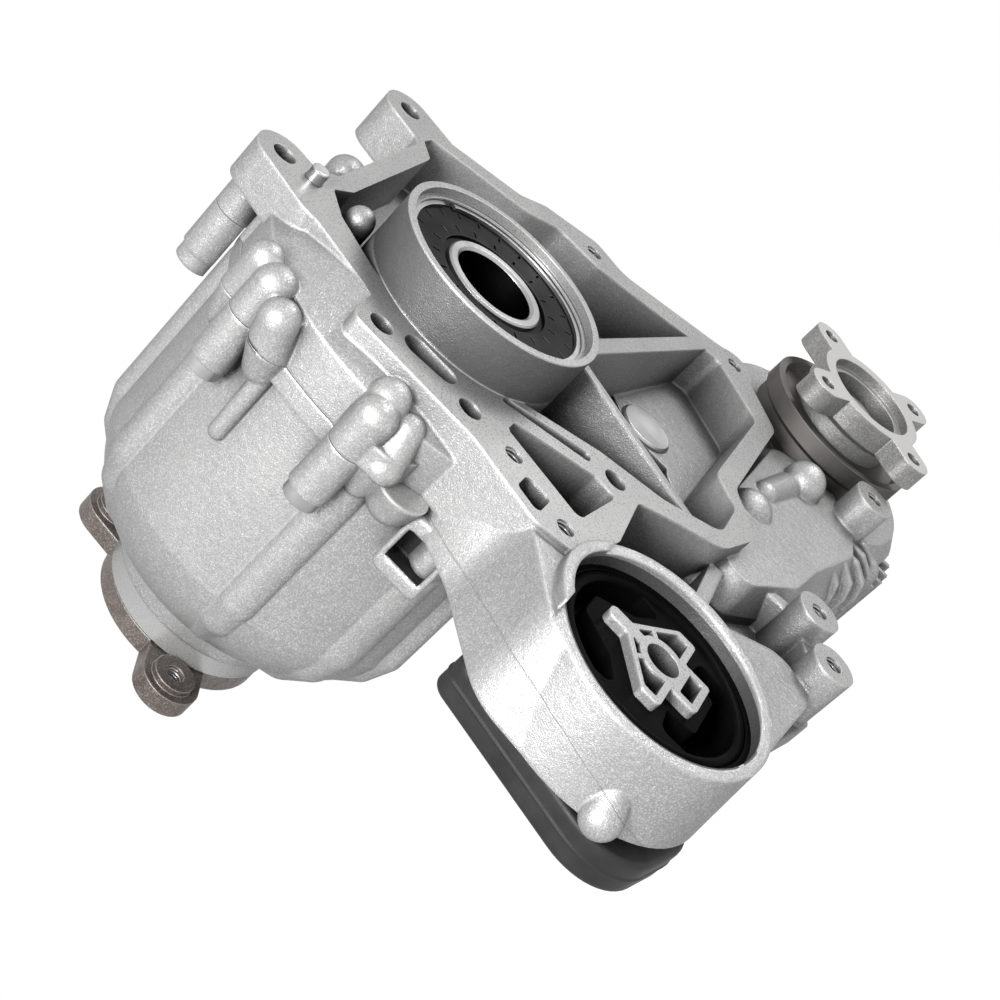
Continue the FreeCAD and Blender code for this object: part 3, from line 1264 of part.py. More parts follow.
def mount_rubber():
    """Ring, two legs and a sleeve round the core, with voids over and under the core."""
    start, end = float(s.bush_y) + 1, float(s.bush_y + s.bush_w) - 1
    inner = float(s.eye_bore_r) - 0.1 - float(s.bush_wall) - 0.05
    disc = drum(eye, inner, start, end)
    x, z = s.eye_x.value, s.eye_z.value
    ring_in = inner - 5
    over = drum(eye, ring_in, start - 1, end + 1).common(
        slab([(x - 40, z + 60, 1), (x + 40, z + 60, 1), (x + 33, z + 8, 4), (x + 18, z + 17, 3),
              (x + 7, z + 34, 3), (x - 7, z + 34, 3), (x - 18, z + 17, 3), (x - 33, z + 8, 4)],
             start - 1, end + 1))
    under = drum(eye, ring_in, start - 1, end + 1).common(
        slab([(x - 26, z - 60, 1), (x + 26, z - 60, 1), (x + 30, z - 14, 4), (x + 16, z - 12, 2),
              (x + 15, z - 26, 3), (x - 15, z - 26, 3), (x - 16, z - 12, 2), (x - 30, z - 14, 4)],
             start - 1, end + 1))
    core = slab(core_outline(0.05), start - 2, end + 2)
    return disc.cut([over, under, core])


def mount():
    keep(ring("mount_ring", eye, s.eye_bore_r - s.fit - s.bush_wall, s.eye_bore_r - s.fit, s.bush_y,
              s.bush_w), "mount_ring")
    casting("mount_rubber", mount_rubber())
    casting("mount_core", mount_core())
    pad = stop_pad()
    casting("stop_pad", pad)


def stop_pad():
    """Thick rubber plate behind the eye, squarer above than below."""
    half_l, half_w = float(s.stop_half_l), float(s.stop_half_w)
    start, end = float(s.stop_front) + 0.02, float(s.stop_front + s.stop_w)
    corners = [(-half_w, half_l, 9), (half_w, half_l, 9), (half_w, -half_l, 28), (-half_w, -half_l, 28)]
    pad = slab(corners, start, end)
    pad.rotate(Vector(0, 0, 0), Vector(0, 1, 0), float(s.stop_tilt))
    pad.translate(Vector(s.eye_x.value - 3, 0, s.eye_z.value - float(s.stop_drop)))
    return pad.cut(drum(eye, s.core_bore_r, start - 1, end + 1))


def build():
    input_group()
    main_shaft()
    clutch()
    rear_output()
    front_output()
    idler_pin()
    gear_train()
    mount()
    oil_plugs()
    case_fasteners()
    casting("front_housing", front_housing())
    casting("rear_housing", rear_housing())
    doc.recompute()


def check():
    for thing in doc.Objects:
        if "Invalid" in thing.State or "Error" in thing.State:
            raise RuntimeError(f"{thing.Name} did not build: {thing.State}")
    for node in nodes:
        if node.Shape.isNull() or not node.Shape.isValid():
            raise RuntimeError(f"{node.Label} has no valid shape")
        volume = node.Shape.Volume / 1000
        print(f"{node.Label:28s} solids {len(node.Shape.Solids):3d}  volume {volume:9.2f} cm3")


build()
check()
os.makedirs("parts", exist_ok=True)
for node in nodes:
    node.Shape.exportStep(f"parts/{node.Label}.step")
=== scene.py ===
import bpy
import json
import math
import numpy as np
from mathutils import Matrix, Vector


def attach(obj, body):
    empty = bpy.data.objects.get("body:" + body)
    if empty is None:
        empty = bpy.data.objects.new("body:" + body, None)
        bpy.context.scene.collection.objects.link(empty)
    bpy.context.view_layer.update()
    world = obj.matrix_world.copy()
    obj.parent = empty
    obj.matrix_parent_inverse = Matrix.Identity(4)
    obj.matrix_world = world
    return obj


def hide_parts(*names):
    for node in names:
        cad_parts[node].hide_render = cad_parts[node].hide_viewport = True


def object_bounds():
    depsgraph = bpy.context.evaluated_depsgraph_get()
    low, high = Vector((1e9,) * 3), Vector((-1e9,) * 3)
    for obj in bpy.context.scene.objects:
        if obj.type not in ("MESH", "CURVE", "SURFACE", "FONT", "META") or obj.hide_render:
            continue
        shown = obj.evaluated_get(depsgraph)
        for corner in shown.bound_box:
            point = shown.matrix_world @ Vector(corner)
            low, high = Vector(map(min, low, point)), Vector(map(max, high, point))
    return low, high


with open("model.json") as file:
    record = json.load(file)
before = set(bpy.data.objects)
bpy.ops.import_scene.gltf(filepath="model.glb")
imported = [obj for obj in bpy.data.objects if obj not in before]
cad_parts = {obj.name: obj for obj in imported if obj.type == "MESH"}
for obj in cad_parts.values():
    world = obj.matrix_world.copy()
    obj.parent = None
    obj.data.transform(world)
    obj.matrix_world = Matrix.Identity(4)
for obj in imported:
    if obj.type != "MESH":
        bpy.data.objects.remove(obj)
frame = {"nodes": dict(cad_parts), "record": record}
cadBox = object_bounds()
print("frame loaded:", len(frame["nodes"]), "nodes")

mm = 0.001

# Axes of the case in the plane of the gearbox face, x and z in mm
mainAxis = (0.0, 0.0)
frontAxis = (220.0, -155.0)
eyeAxis = (-89.0, -147.7)


# Small helpers for shader nodes
def putNode(tree, kind, inputs=None, **settings):
    # adds a shader node, sets its options and then its input values or links
    node = tree.nodes.new(kind)
    for key, value in settings.items():
        setattr(node, key, value)
    for key, value in (inputs or {}).items():
        if isinstance(value, bpy.types.NodeSocket):
            tree.links.new(value, node.inputs[key])
        else:
            node.inputs[key].default_value = value
    return node


def math2(tree, operation, first, second=0.0, clamp=False):
    node = putNode(tree, "ShaderNodeMath", {0: first, 1: second}, operation=operation, use_clamp=clamp)
    return node.outputs[0]


def rampRange(tree, value, low, high, outLow=0.0, outHigh=1.0):
    # straight line from (low, outLow) to (high, outHigh), held at both ends
    node = putNode(tree, "ShaderNodeMapRange", {"Value": value, "From Min": low, "From Max": high,
                                                "To Min": outLow, "To Max": outHigh})
    return node.outputs[0]


def mixColour(tree, factor, first, second):
    node = putNode(tree, "ShaderNodeMix", {0: factor, 6: first, 7: second}, data_type="RGBA")
    return node.outputs[2]


def layOver(tree, colour, mask, share, tone):
    # puts a tone over the colour by the given share of the mask
    return mixColour(tree, math2(tree, "MULTIPLY", mask, share), colour, tone)


def grey(value, warm=0.0):
    return (value * (1 + warm), value, value * (1 - warm), 1)


def objectPlace(tree):
    return putNode(tree, "ShaderNodeTexCoord").outputs["Object"]


def newGroup(name, inputs, outputs):
    # an empty group with float or vector sockets; gives the tree, its input node and its output node
    tree = bpy.data.node_groups.new(name, "ShaderNodeTree")
    kinds = {"f": "NodeSocketFloat", "v": "NodeSocketVector"}
    for socketName, kind, value in inputs:
        socket = tree.interface.new_socket(name=socketName, in_out="INPUT", socket_type=kinds[kind])
        socket.default_value = value
    for socketName, kind in outputs:
        tree.interface.new_socket(name=socketName, in_out="OUTPUT", socket_type=kinds[kind])
    return tree, tree.nodes.new("NodeGroupInput"), tree.nodes.new("NodeGroupOutput")


def useGroup(tree, group, inputs=None):
    return putNode(tree, "ShaderNodeGroup", inputs, node_tree=group)


# grain of a casting: fine blasted pits, coarse unevenness, bright flecks and slow patches of tone
castGrain = {"pitShare": 0.65, "lumps": 240.0, "lumpShare": 0.8, "flakes": 2300.0, "flakesFrom": 0.35,
             "toneRange": (0.32, 0.68), "pitRange": (0.3, 0.7)}


def makeCastSkin():
    tree, given, made = newGroup("castSkin", [("Grain", "f", 1700.0), ("Patch", "f", 26.0)],
                                 [("Height", "f"), ("Fleck", "f"), ("Tone", "f"), ("Pits", "f")])
    place = objectPlace(tree)
    pits = putNode(tree, "ShaderNodeTexNoise", {"Vector": place, "Scale": given.outputs["Grain"],
                                                "Detail": 2.0, "Roughness": 0.65}).outputs["Fac"]
    lumps = putNode(tree, "ShaderNodeTexNoise", {"Vector": place, "Scale": castGrain["lumps"],
                                                 "Detail": 3.0}).outputs["Fac"]
    slow = putNode(tree, "ShaderNodeTexNoise", {"Vector": place, "Scale": given.outputs["Patch"],
                                                "Detail": 4.0, "Roughness": 0.6}).outputs["Fac"]
    flakes = putNode(tree, "ShaderNodeTexVoronoi", {"Vector": place, "Scale": castGrain["flakes"]},
                     feature="F1")
    shine = putNode(tree, "ShaderNodeSeparateColor", {0: flakes.outputs["Color"]}).outputs[0]
    height = math2(tree, "ADD", math2(tree, "MULTIPLY", pits, castGrain["pitShare"]),
                   math2(tree, "MULTIPLY", lumps, castGrain["lumpShare"]))
    bright = math2(tree, "POWER", rampRange(tree, shine, castGrain["flakesFrom"], 1.0), 2.0)
    tree.links.new(height, made.inputs["Height"])
    tree.links.new(bright, made.inputs["Fleck"])
    tree.links.new(rampRange(tree, slow, *castGrain["toneRange"]), made.inputs["Tone"])
    tree.links.new(rampRange(tree, pits, *castGrain["pitRange"]), made.inputs["Pits"])
    return tree


# how sharp the surface turns here: 0 on a flat, 1 on an edge narrower than the radius
def makeEdgeFind():
    tree, given, made = newGroup("edgeFind", [("Radius", "f", 1.0 * mm), ("Grip", "f", 4.0)],
                                 [("Edge", "f"), ("Soft normal", "v")])
    soft = putNode(tree, "ShaderNodeBevel", {"Radius": given.outputs["Radius"]}, samples=6).outputs["Normal"]
    hard = putNode(tree, "ShaderNodeNewGeometry").outputs["Normal"]
    alike = putNode(tree, "ShaderNodeVectorMath", {0: soft, 1: hard},
                    operation="DOT_PRODUCT").outputs["Value"]
    turned = math2(tree, "SUBTRACT", 1.0, alike)
    edge = math2(tree, "MULTIPLY", turned, given.outputs["Grip"], clamp=True)
    tree.links.new(edge, made.inputs["Edge"])
    tree.links.new(soft, made.inputs["Soft normal"])
    return tree


# 1 deep in a hollow of the same piece, 0 in the open, for painted shade in hollows; the range is of the share
# of open sky
openSky = (0.15, 0.95)


def makePaintedHollowShade():
    tree, given, made = newGroup("paintedHollowShade", [("Reach", "f", 30.0 * mm)], [("Mask", "f")])
    around = putNode(tree, "ShaderNodeAmbientOcclusion", {"Distance": given.outputs["Reach"]}, samples=8,
                     only_local=True).outputs["AO"]
    tree.links.new(rampRange(tree, around, *openSky, 1.0, 0.0), made.inputs["Mask"])
    return tree


# 1 where the surface lies flat in a plane across Y at the level given; the limit is a cosine
flatLimit = 0.985


def makeFlatAt():
    tree, given, made = newGroup("flatAt", [("Level", "f", 0.0), ("Reach", "f", 0.12 * mm)],
                                 [("Mask", "f")])
    coordinates = putNode(tree, "ShaderNodeTexCoord")
    place = putNode(tree, "ShaderNodeSeparateXYZ", {0: coordinates.outputs["Object"]})
    facing = putNode(tree, "ShaderNodeSeparateXYZ", {0: coordinates.outputs["Normal"]})
    away = math2(tree, "ABSOLUTE", math2(tree, "SUBTRACT", place.outputs[1], given.outputs["Level"]))
    near = math2(tree, "LESS_THAN", away, given.outputs["Reach"])
    straight = math2(tree, "GREATER_THAN", math2(tree, "ABSOLUTE", facing.outputs[1]), flatLimit)
    tree.links.new(math2(tree, "MULTIPLY", near, straight), made.inputs["Mask"])
    return tree


# 1 inside a round zone about an axis along Y, between two depths
def makeRoundZone():
    tree, given, made = newGroup("roundZone", [("Centre X", "f", 0.0), ("Centre Z", "f", 0.0),
                                               ("Radius", "f", 10.0 * mm), ("From Y", "f", -1.0),
                                               ("To Y", "f", 1.0)], [("Mask", "f")])
    place = putNode(tree, "ShaderNodeSeparateXYZ", {0: objectPlace(tree)})
    across = math2(tree, "SUBTRACT", place.outputs[0], given.outputs["Centre X"])
    up = math2(tree, "SUBTRACT", place.outputs[2], given.outputs["Centre Z"])
    distance = math2(tree, "SQRT", math2(tree, "ADD", math2(tree, "MULTIPLY", across, across),
                                         math2(tree, "MULTIPLY", up, up)))
    inside = math2(tree, "LESS_THAN", distance, given.outputs["Radius"])
    after = math2(tree, "GREATER_THAN", place.outputs[1], given.outputs["From Y"])
    before = math2(tree, "LESS_THAN", place.outputs[1], given.outputs["To Y"])
    between = math2(tree, "MULTIPLY", after, before)
    tree.links.new(math2(tree, "MULTIPLY", inside, between), made.inputs["Mask"])
    return tree


# 1 on a thin line where the surface crosses a plane, which wavers a little and fades at its sides
seamFade = 1.5
seamWave = 90.0


def makeSeamLine():
    tree, given, made = newGroup("seamLine", [("Normal", "v", (0.0, 1.0, 0.0)), ("Offset", "f", 0.0),
                                              ("Half width", "f", 0.3 * mm), ("Waver", "f", 0.4 * mm)],
                                 [("Mask", "f")])
    place = objectPlace(tree)
    height = putNode(tree, "ShaderNodeVectorMath", {0: place, 1: given.outputs["Normal"]},
                     operation="DOT_PRODUCT").outputs["Value"]
    drift = putNode(tree, "ShaderNodeTexNoise", {"Vector": place, "Scale": seamWave,
                                                 "Detail": 3.0}).outputs["Fac"]
    drift = math2(tree, "MULTIPLY", math2(tree, "SUBTRACT", drift, 0.5), given.outputs["Waver"])
    over = math2(tree, "SUBTRACT", height, given.outputs["Offset"])
    away = math2(tree, "ABSOLUTE", math2(tree, "ADD", over, drift))
    near = math2(tree, "SUBTRACT", seamFade, math2(tree, "DIVIDE", away, given.outputs["Half width"]),
                 clamp=True)
    tree.links.new(near, made.inputs["Mask"])
    return tree


# lathe marks: fine rings about an axis along Y, broken by a little noise
def makeLatheLines():
    tree, given, made = newGroup("latheLines", [("Centre X", "f", 0.0), ("Centre Z", "f", 0.0),
                                                ("Pitch", "f", 3000.0)], [("Height", "f")])
    place = putNode(tree, "ShaderNodeSeparateXYZ", {0: objectPlace(tree)})
    across = math2(tree, "SUBTRACT", place.outputs[0], given.outputs["Centre X"])
    up = math2(tree, "SUBTRACT", place.outputs[2], given.outputs["Centre Z"])
    distance = math2(tree, "SQRT", math2(tree, "ADD", math2(tree, "MULTIPLY", across, across),
                                         math2(tree, "MULTIPLY", up, up)))
    along = putNode(tree, "ShaderNodeCombineXYZ", {0: distance, 1: place.outputs[1]}).outputs[0]
    rings = putNode(tree, "ShaderNodeTexNoise", {"Vector": along, "Scale": given.outputs["Pitch"],
                                                 "Detail": 1.0}).outputs["Fac"]
    tree.links.new(rings, made.inputs["Height"])
    return tree


castSkin = makeCastSkin()
edgeFind = makeEdgeFind()
paintedHollowShade = makePaintedHollowShade()
flatAt = makeFlatAt()
roundZone = makeRoundZone()
seamLine = makeSeamLine()
latheLines = makeLatheLines()


def startMaterial(name):
    material = bpy.data.materials.new(name)
    material.use_nodes = True
    tree = material.node_tree
    return material, tree, tree.nodes["Principled BSDF"]


def link(tree, source, node, socket):
    tree.links.new(source, node.inputs[socket])


def largest(tree, masks):
    top = masks[0]
    for mask in masks[1:]:
        top = math2(tree, "MAXIMUM", top, mask)
    return top


castAluminium = {
    "dark": 0.29, "light": 0.35, "lightWarm": 0.004, "metal": 0.65, "rough": 0.47, "fleckRough": 0.26,
    "specular": 0.12, "specularTint": 0.35, "pit": 0.30, "pitShare": 0.55, "fleck": 0.92, "fleckShare": 0.4,
    "softEdge": 2.2 * mm, "sharpEdge": 0.4 * mm, "edgeGrip": 5.0, "edge": 0.74, "edgeShare": 0.45,
    "bump": 0.34 * mm, "bumpStrength": 0.9,
    "paintedHollowShade": 0.03, "hollowShare": 0.95, "hollowReach": 45 * mm, "hollowCurve": 1.7,
}
# flat faces and bores that a cutter has passed over
machinedFace = {"tone": 0.38, "darker": 0.94, "lighter": 1.04, "warm": 0.006, "edge": 0.85, "edgeShare": 0.8,
                "smoother": -0.06, "grain": 0.03}
# joint of the two castings, with the open pocket where their lumps meet
caseJoint = {"y": 33 * mm, "half": 0.16 * mm, "waver": 0.25 * mm, "tone": 0.03, "share": 0.85,
             "faceReach": 1.0 * mm, "pocketAt": (-89.0, 42.5), "pocketRadius": 5.2, "pocketHalf": 0.9,
             "pocketFrom": 25.0, "pocketTo": 40.0}
# mould seam that runs down the arm
armSeam = {"normal": (0.441, -0.878, -0.188), "through": (-72.0, 38.0, -38.0), "half": 0.22 * mm,
           "waver": 1.6 * mm, "tone": 0.22, "share": 0.4, "depth": 0.5}
# round zone that holds the arm and the eye, which belong to the front casting alone
armZone = (-112.0, -135.0, 98.0)
# share of the painted shade on walls in the round zones
shadeZoneShare = 0.8
# share of the painted shade in the box
shadeBoxShare = 0.95


def zoneMask(tree, x, z, radius, start=-1000.0, end=1000.0):
    # 1 in a round zone about an axis along y, all in mm
    return useGroup(tree, roundZone, {"Centre X": x * mm, "Centre Z": z * mm, "Radius": radius * mm,
                                      "From Y": start * mm, "To Y": end * mm}).outputs["Mask"]


def boxMask(tree, middle, half):
    # 1 inside a box of y and z, all in mm
    place = putNode(tree, "ShaderNodeSeparateXYZ", {0: objectPlace(tree)})
    within = [putNode(tree, "ShaderNodeMath", {0: place.outputs[axis], 1: at * mm, 2: reach * mm},
                      operation="COMPARE").outputs[0]
              for axis, at, reach in ((1, middle[0], half[0]), (2, middle[1], half[1]))]
    return math2(tree, "MULTIPLY", within[0], within[1])


def addArmSeam(tree, colour, height, onArm):
    # darkens the colour and sinks the surface along the arm's seam
    offset = sum(a * b for a, b in zip(armSeam["normal"], armSeam["through"]))
    line = useGroup(tree, seamLine, {"Normal": armSeam["normal"], "Offset": offset * mm,
                                     "Half width": armSeam["half"],
                                     "Waver": armSeam["waver"]}).outputs["Mask"]
    line = math2(tree, "MULTIPLY", line, onArm)
    colour = layOver(tree, colour, line, armSeam["share"], grey(armSeam["tone"]))
    return colour, math2(tree, "SUBTRACT", height, math2(tree, "MULTIPLY", line, armSeam["depth"]))


def addCaseJoint(tree, colour, onArm):
    # dark line where the castings meet, wider in the pocket, and none on the arm or on the joint's flat
    pocket = zoneMask(tree, *caseJoint["pocketAt"], caseJoint["pocketRadius"], caseJoint["pocketFrom"],
                      caseJoint["pocketTo"])
    half = rampRange(tree, pocket, 0.0, 1.0, caseJoint["half"], caseJoint["pocketHalf"] * mm)
    joint = useGroup(tree, seamLine, {"Offset": caseJoint["y"], "Half width": half,
                                      "Waver": caseJoint["waver"]})
    onJointFace = useGroup(tree, flatAt, {"Level": caseJoint["y"],
                                          "Reach": caseJoint["faceReach"]}).outputs["Mask"]
    notHere = largest(tree, [onArm, onJointFace])
    shown = math2(tree, "MULTIPLY", joint.outputs["Mask"],
                  rampRange(tree, notHere, 0.0, 1.0, caseJoint["share"], 0.0))
    return mixColour(tree, shown, colour, grey(caseJoint["tone"]))


def makeCastAluminium(name, machinedLevels=(), boreZones=(), withArm=False, shadeZones=(), shadeBox=None):
    # blasted casting, with flat machined faces at the levels given, turned bores in the zones given,
    # painted shade on walls in the round zones given after them, and painted shade along x in a box of y and
    # z
    look = castAluminium
    material, tree, shader = startMaterial(name)
    skin = useGroup(tree, castSkin)
    masks = [useGroup(tree, flatAt, {"Level": level * mm}).outputs["Mask"] for level in machinedLevels]
    masks += [zoneMask(tree, *zone) for zone in boreZones]
    machined = largest(tree, masks) if masks else 0.0
    radius = rampRange(tree, machined, 0.0, 1.0, look["softEdge"], look["sharpEdge"])
    edge = useGroup(tree, edgeFind, {"Radius": radius, "Grip": look["edgeGrip"]})

    colour = mixColour(tree, skin.outputs["Tone"], grey(look["dark"]), grey(look["light"], look["lightWarm"]))
    pitted = math2(tree, "SUBTRACT", 1.0, skin.outputs["Pits"])
    colour = layOver(tree, colour, pitted, look["pitShare"], grey(look["pit"]))
    colour = layOver(tree, colour, skin.outputs["Fleck"], look["fleckShare"], grey(look["fleck"]))
    # painted highlight: lighter along the edges
    colour = layOver(tree, colour, edge.outputs["Edge"], look["edgeShare"], grey(look["edge"]))
    face = machinedFace
    fine = mixColour(tree, skin.outputs["Tone"], grey(face["tone"] * face["darker"]),
                     grey(face["tone"] * face["lighter"], face["warm"]))
    # painted highlight: paler along the edges of machined faces
    fine = layOver(tree, fine, edge.outputs["Edge"], face["edgeShare"], grey(face["edge"]))
    colour = mixColour(tree, machined, colour, fine)

    rough = rampRange(tree, skin.outputs["Fleck"], 0.0, 1.0, look["rough"], look["fleckRough"])
    rough = math2(tree, "ADD", rough, math2(tree, "MULTIPLY", machined, face["smoother"]))
    height = math2(tree, "MULTIPLY", skin.outputs["Height"],
                   rampRange(tree, machined, 0.0, 1.0, 1.0, face["grain"]))

    onArm = zoneMask(tree, *armZone)
    if withArm:
        colour, height = addArmSeam(tree, colour, height, onArm)
    colour = addCaseJoint(tree, colour, onArm)
    # painted shade: darker collar wall and eye bore, left off machined faces
    for x, z, outer, start, end, tone in shadeZones:
        zoneShade = math2(tree, "MULTIPLY", zoneMask(tree, x, z, outer, start, end),
                     math2(tree, "SUBTRACT", 1.0, machined))
        colour = layOver(tree, colour, zoneShade, shadeZoneShare, grey(tone))
    # painted shade: near black inside the box
    if shadeBox:
        colour = layOver(tree, colour, boxMask(tree, shadeBox["middle"], shadeBox["half"]), shadeBoxShare,
                         grey(shadeBox["tone"]))
    # painted shade: the colour goes near black deep in the casting's own hollows
    paintedShade = useGroup(tree, paintedHollowShade, {"Reach": look["hollowReach"]}).outputs["Mask"]
    paintedShade = math2(tree, "POWER", paintedShade, look["hollowCurve"])
    colour = layOver(tree, colour, paintedShade, look["hollowShare"], grey(look["paintedHollowShade"]))

    bump = putNode(tree, "ShaderNodeBump", {"Strength": look["bumpStrength"], "Distance": look["bump"],
                                            "Height": height, "Normal": edge.outputs["Soft normal"]})
    link(tree, colour, shader, "Base Color")
    link(tree, rough, shader, "Roughness")
    link(tree, bump.outputs[0], shader, "Normal")
    shader.inputs["Metallic"].default_value = look["metal"]
    shader.inputs["Specular IOR Level"].default_value = look["specular"]
    shader.inputs["Specular Tint"].default_value = grey(look["specularTint"])
    return material


turnedSteel = {"grain": 2600.0, "patch": 40.0, "edge": 0.5 * mm, "edgeGrip": 4.0, "dark": 0.85, "light": 1.12,
               "edgeShare": 0.4, "hollowReach": 12 * mm, "paintedHollowShade": 0.3, "hollowShare": 0.6, "grainShare": 0.5,
               "bump": 0.03 * mm, "bumpStrength": 0.6, "roughMore": 0.1, "specularTint": 0.4}


def makeTurnedSteel(name, tone, rough, axis=mainAxis, warm=0.0, edgeTone=0.7, shadedBore=None):
    # machined steel with lathe rings, pale edges, slow patches of tone and painted shade in its hollows, and
    # painted shade in its bore if given
    look = turnedSteel
    material, tree, shader = startMaterial(name)
    skin = useGroup(tree, castSkin, {"Grain": look["grain"], "Patch": look["patch"]})
    edge = useGroup(tree, edgeFind, {"Radius": look["edge"], "Grip": look["edgeGrip"]})
    rings = useGroup(tree, latheLines, {"Centre X": axis[0] * mm, "Centre Z": axis[1] * mm})
    colour = mixColour(tree, skin.outputs["Tone"], grey(tone * look["dark"], warm),
                       grey(tone * look["light"], warm))
    colour = layOver(tree, colour, edge.outputs["Edge"], look["edgeShare"], grey(edgeTone))
    # painted shade: darker deep in the piece's own hollows
    paintedShade = useGroup(tree, paintedHollowShade, {"Reach": look["hollowReach"]}).outputs["Mask"]
    colour = layOver(tree, colour, paintedShade, look["hollowShare"], grey(tone * look["paintedHollowShade"]))
    # painted shade: the bore goes near black
    if shadedBore:
        radius, start, end, boreShadeTone = shadedBore
        colour = mixColour(tree, zoneMask(tree, *mainAxis, radius, start, end), colour, grey(boreShadeTone))
    grain = math2(tree, "MULTIPLY", skin.outputs["Height"], look["grainShare"])
    height = math2(tree, "ADD", rings.outputs["Height"], grain)
    bump = putNode(tree, "ShaderNodeBump", {"Strength": look["bumpStrength"], "Distance": look["bump"],
                                            "Height": height, "Normal": edge.outputs["Soft normal"]})
    link(tree, colour, shader, "Base Color")
    link(tree, rampRange(tree, skin.outputs["Tone"], 0.0, 1.0, rough, rough + look["roughMore"]), shader,
         "Roughness")
    link(tree, bump.outputs[0], shader, "Normal")
    shader.inputs["Metallic"].default_value = 1.0
    shader.inputs["Specular Tint"].default_value = grey(look["specularTint"])
    return material


forgedSteel = {"grain": 1300.0, "patch": 55.0, "edge": 1.0 * mm, "edgeGrip": 4.0, "edgeTone": 0.6,
               "edgeShare": 0.4, "pit": 0.06, "pitShare": 0.45, "fleck": 0.7, "fleckShare": 0.25,
               "faceShare": 0.8, "faceWarm": 0.01, "faceGrain": 0.1, "pitch": 1800.0, "ringShare": 0.25,
               "bump": 0.3 * mm, "bumpStrength": 0.8, "rough": 0.52, "faceRough": 0.36, "metal": 0.8}


def makeForgedSteel(name, tone, stain, axis, faceLevels, faceTone):
    # forged and stained steel, with bright turned faces at the levels given
    look = forgedSteel
    material, tree, shader = startMaterial(name)
    skin = useGroup(tree, castSkin, {"Grain": look["grain"], "Patch": look["patch"]})
    edge = useGroup(tree, edgeFind, {"Radius": look["edge"], "Grip": look["edgeGrip"]})
    turned = largest(tree, [useGroup(tree, flatAt, {"Level": level * mm}).outputs["Mask"]
                            for level in faceLevels])
    rings = useGroup(tree, latheLines, {"Centre X": axis[0] * mm, "Centre Z": axis[1] * mm,
                                        "Pitch": look["pitch"]})
    colour = mixColour(tree, skin.outputs["Tone"], tone, stain)
    pitted = math2(tree, "SUBTRACT", 1.0, skin.outputs["Pits"])
    colour = layOver(tree, colour, pitted, look["pitShare"], grey(look["pit"]))
    colour = layOver(tree, colour, skin.outputs["Fleck"], look["fleckShare"], grey(look["fleck"]))
    colour = layOver(tree, colour, turned, look["faceShare"], grey(faceTone, look["faceWarm"]))
    colour = layOver(tree, colour, edge.outputs["Edge"], look["edgeShare"], grey(look["edgeTone"]))
    height = math2(tree, "MULTIPLY", skin.outputs["Height"],
                   rampRange(tree, turned, 0.0, 1.0, 1.0, look["faceGrain"]))
    ringed = math2(tree, "MULTIPLY", rings.outputs["Height"],
                   math2(tree, "MULTIPLY", turned, look["ringShare"]))
    height = math2(tree, "ADD", height, ringed)
    bump = putNode(tree, "ShaderNodeBump", {"Strength": look["bumpStrength"], "Distance": look["bump"],
                                            "Height": height, "Normal": edge.outputs["Soft normal"]})
    link(tree, colour, shader, "Base Color")
    link(tree, rampRange(tree, turned, 0.0, 1.0, look["rough"], look["faceRough"]), shader, "Roughness")
    link(tree, bump.outputs[0], shader, "Normal")
    shader.inputs["Metallic"].default_value = look["metal"]
    return material


rubberLook = {"grain": 900.0, "patch": 60.0, "edgeGrip": 3.0, "edgeShare": 0.25, "edge": 4.0, "light": 1.9,
              "bumpStrength": 0.7, "roughMore": 0.15}


def makeRubber(name, tone, rough, softRadius, bumpDepth, gloss=0.5):
    # moulded rubber: rounded edges, lighter edges, fine pores
    look = rubberLook
    material, tree, shader = startMaterial(name)
    skin = useGroup(tree, castSkin, {"Grain": look["grain"], "Patch": look["patch"]})
    edge = useGroup(tree, edgeFind, {"Radius": softRadius, "Grip": look["edgeGrip"]})
    colour = mixColour(tree, skin.outputs["Tone"], grey(tone), grey(tone * look["light"]))
    colour = layOver(tree, colour, edge.outputs["Edge"], look["edgeShare"], grey(tone * look["edge"]))
    bump = putNode(tree, "ShaderNodeBump", {"Strength": look["bumpStrength"], "Distance": bumpDepth,
                                            "Height": skin.outputs["Height"],
                                            "Normal": edge.outputs["Soft normal"]})
    link(tree, colour, shader, "Base Color")
    link(tree, rampRange(tree, skin.outputs["Tone"], 0.0, 1.0, rough, rough + look["roughMore"]), shader,
         "Roughness")
    link(tree, bump.outputs[0], shader, "Normal")
    shader.inputs["Specular IOR Level"].default_value = gloss
    return material


# Finishes by material slot, and the nodes that have one of their own
# painted shade: near black inside the opening of the cast loop, box middle and half sizes in y and z
loopShade = {"middle": (51.5, -56.4), "half": (7.7, 8.8), "tone": 0.012}
# the last two round zones paint shade on the collar's outer wall and inside the eye's bore
frontCast = makeCastAluminium("frontCasting", [0.0, -23.4, -8.0, 2.5], [(*mainAxis, 46.4, -30, 0)], True,
                              [(*mainAxis, 52.5, -22.5, -0.5, 0.10), (*eyeAxis, 48.2, 1.5, 60, 0.05)])
rearCast = makeCastAluminium("rearCasting", [195.0], [(*mainAxis, 43.0, 180, 196)])
loopCast = makeCastAluminium("loopCasting", shadeBox=loopShade)
coreCast = makeCastAluminium("coreCasting", [3.0], [(*eyeAxis, 8.1, 0, 60)])
bushRubber = makeRubber("bushRubber", 0.002, 0.22, 1.2 * mm, 0.08 * mm, gloss=0.008)
padRubber = makeRubber("padRubber", 0.010, 0.46, 1.0 * mm, 0.18 * mm, gloss=0.3)
threadSteel = makeTurnedSteel("threadMetal", 0.52, 0.34)
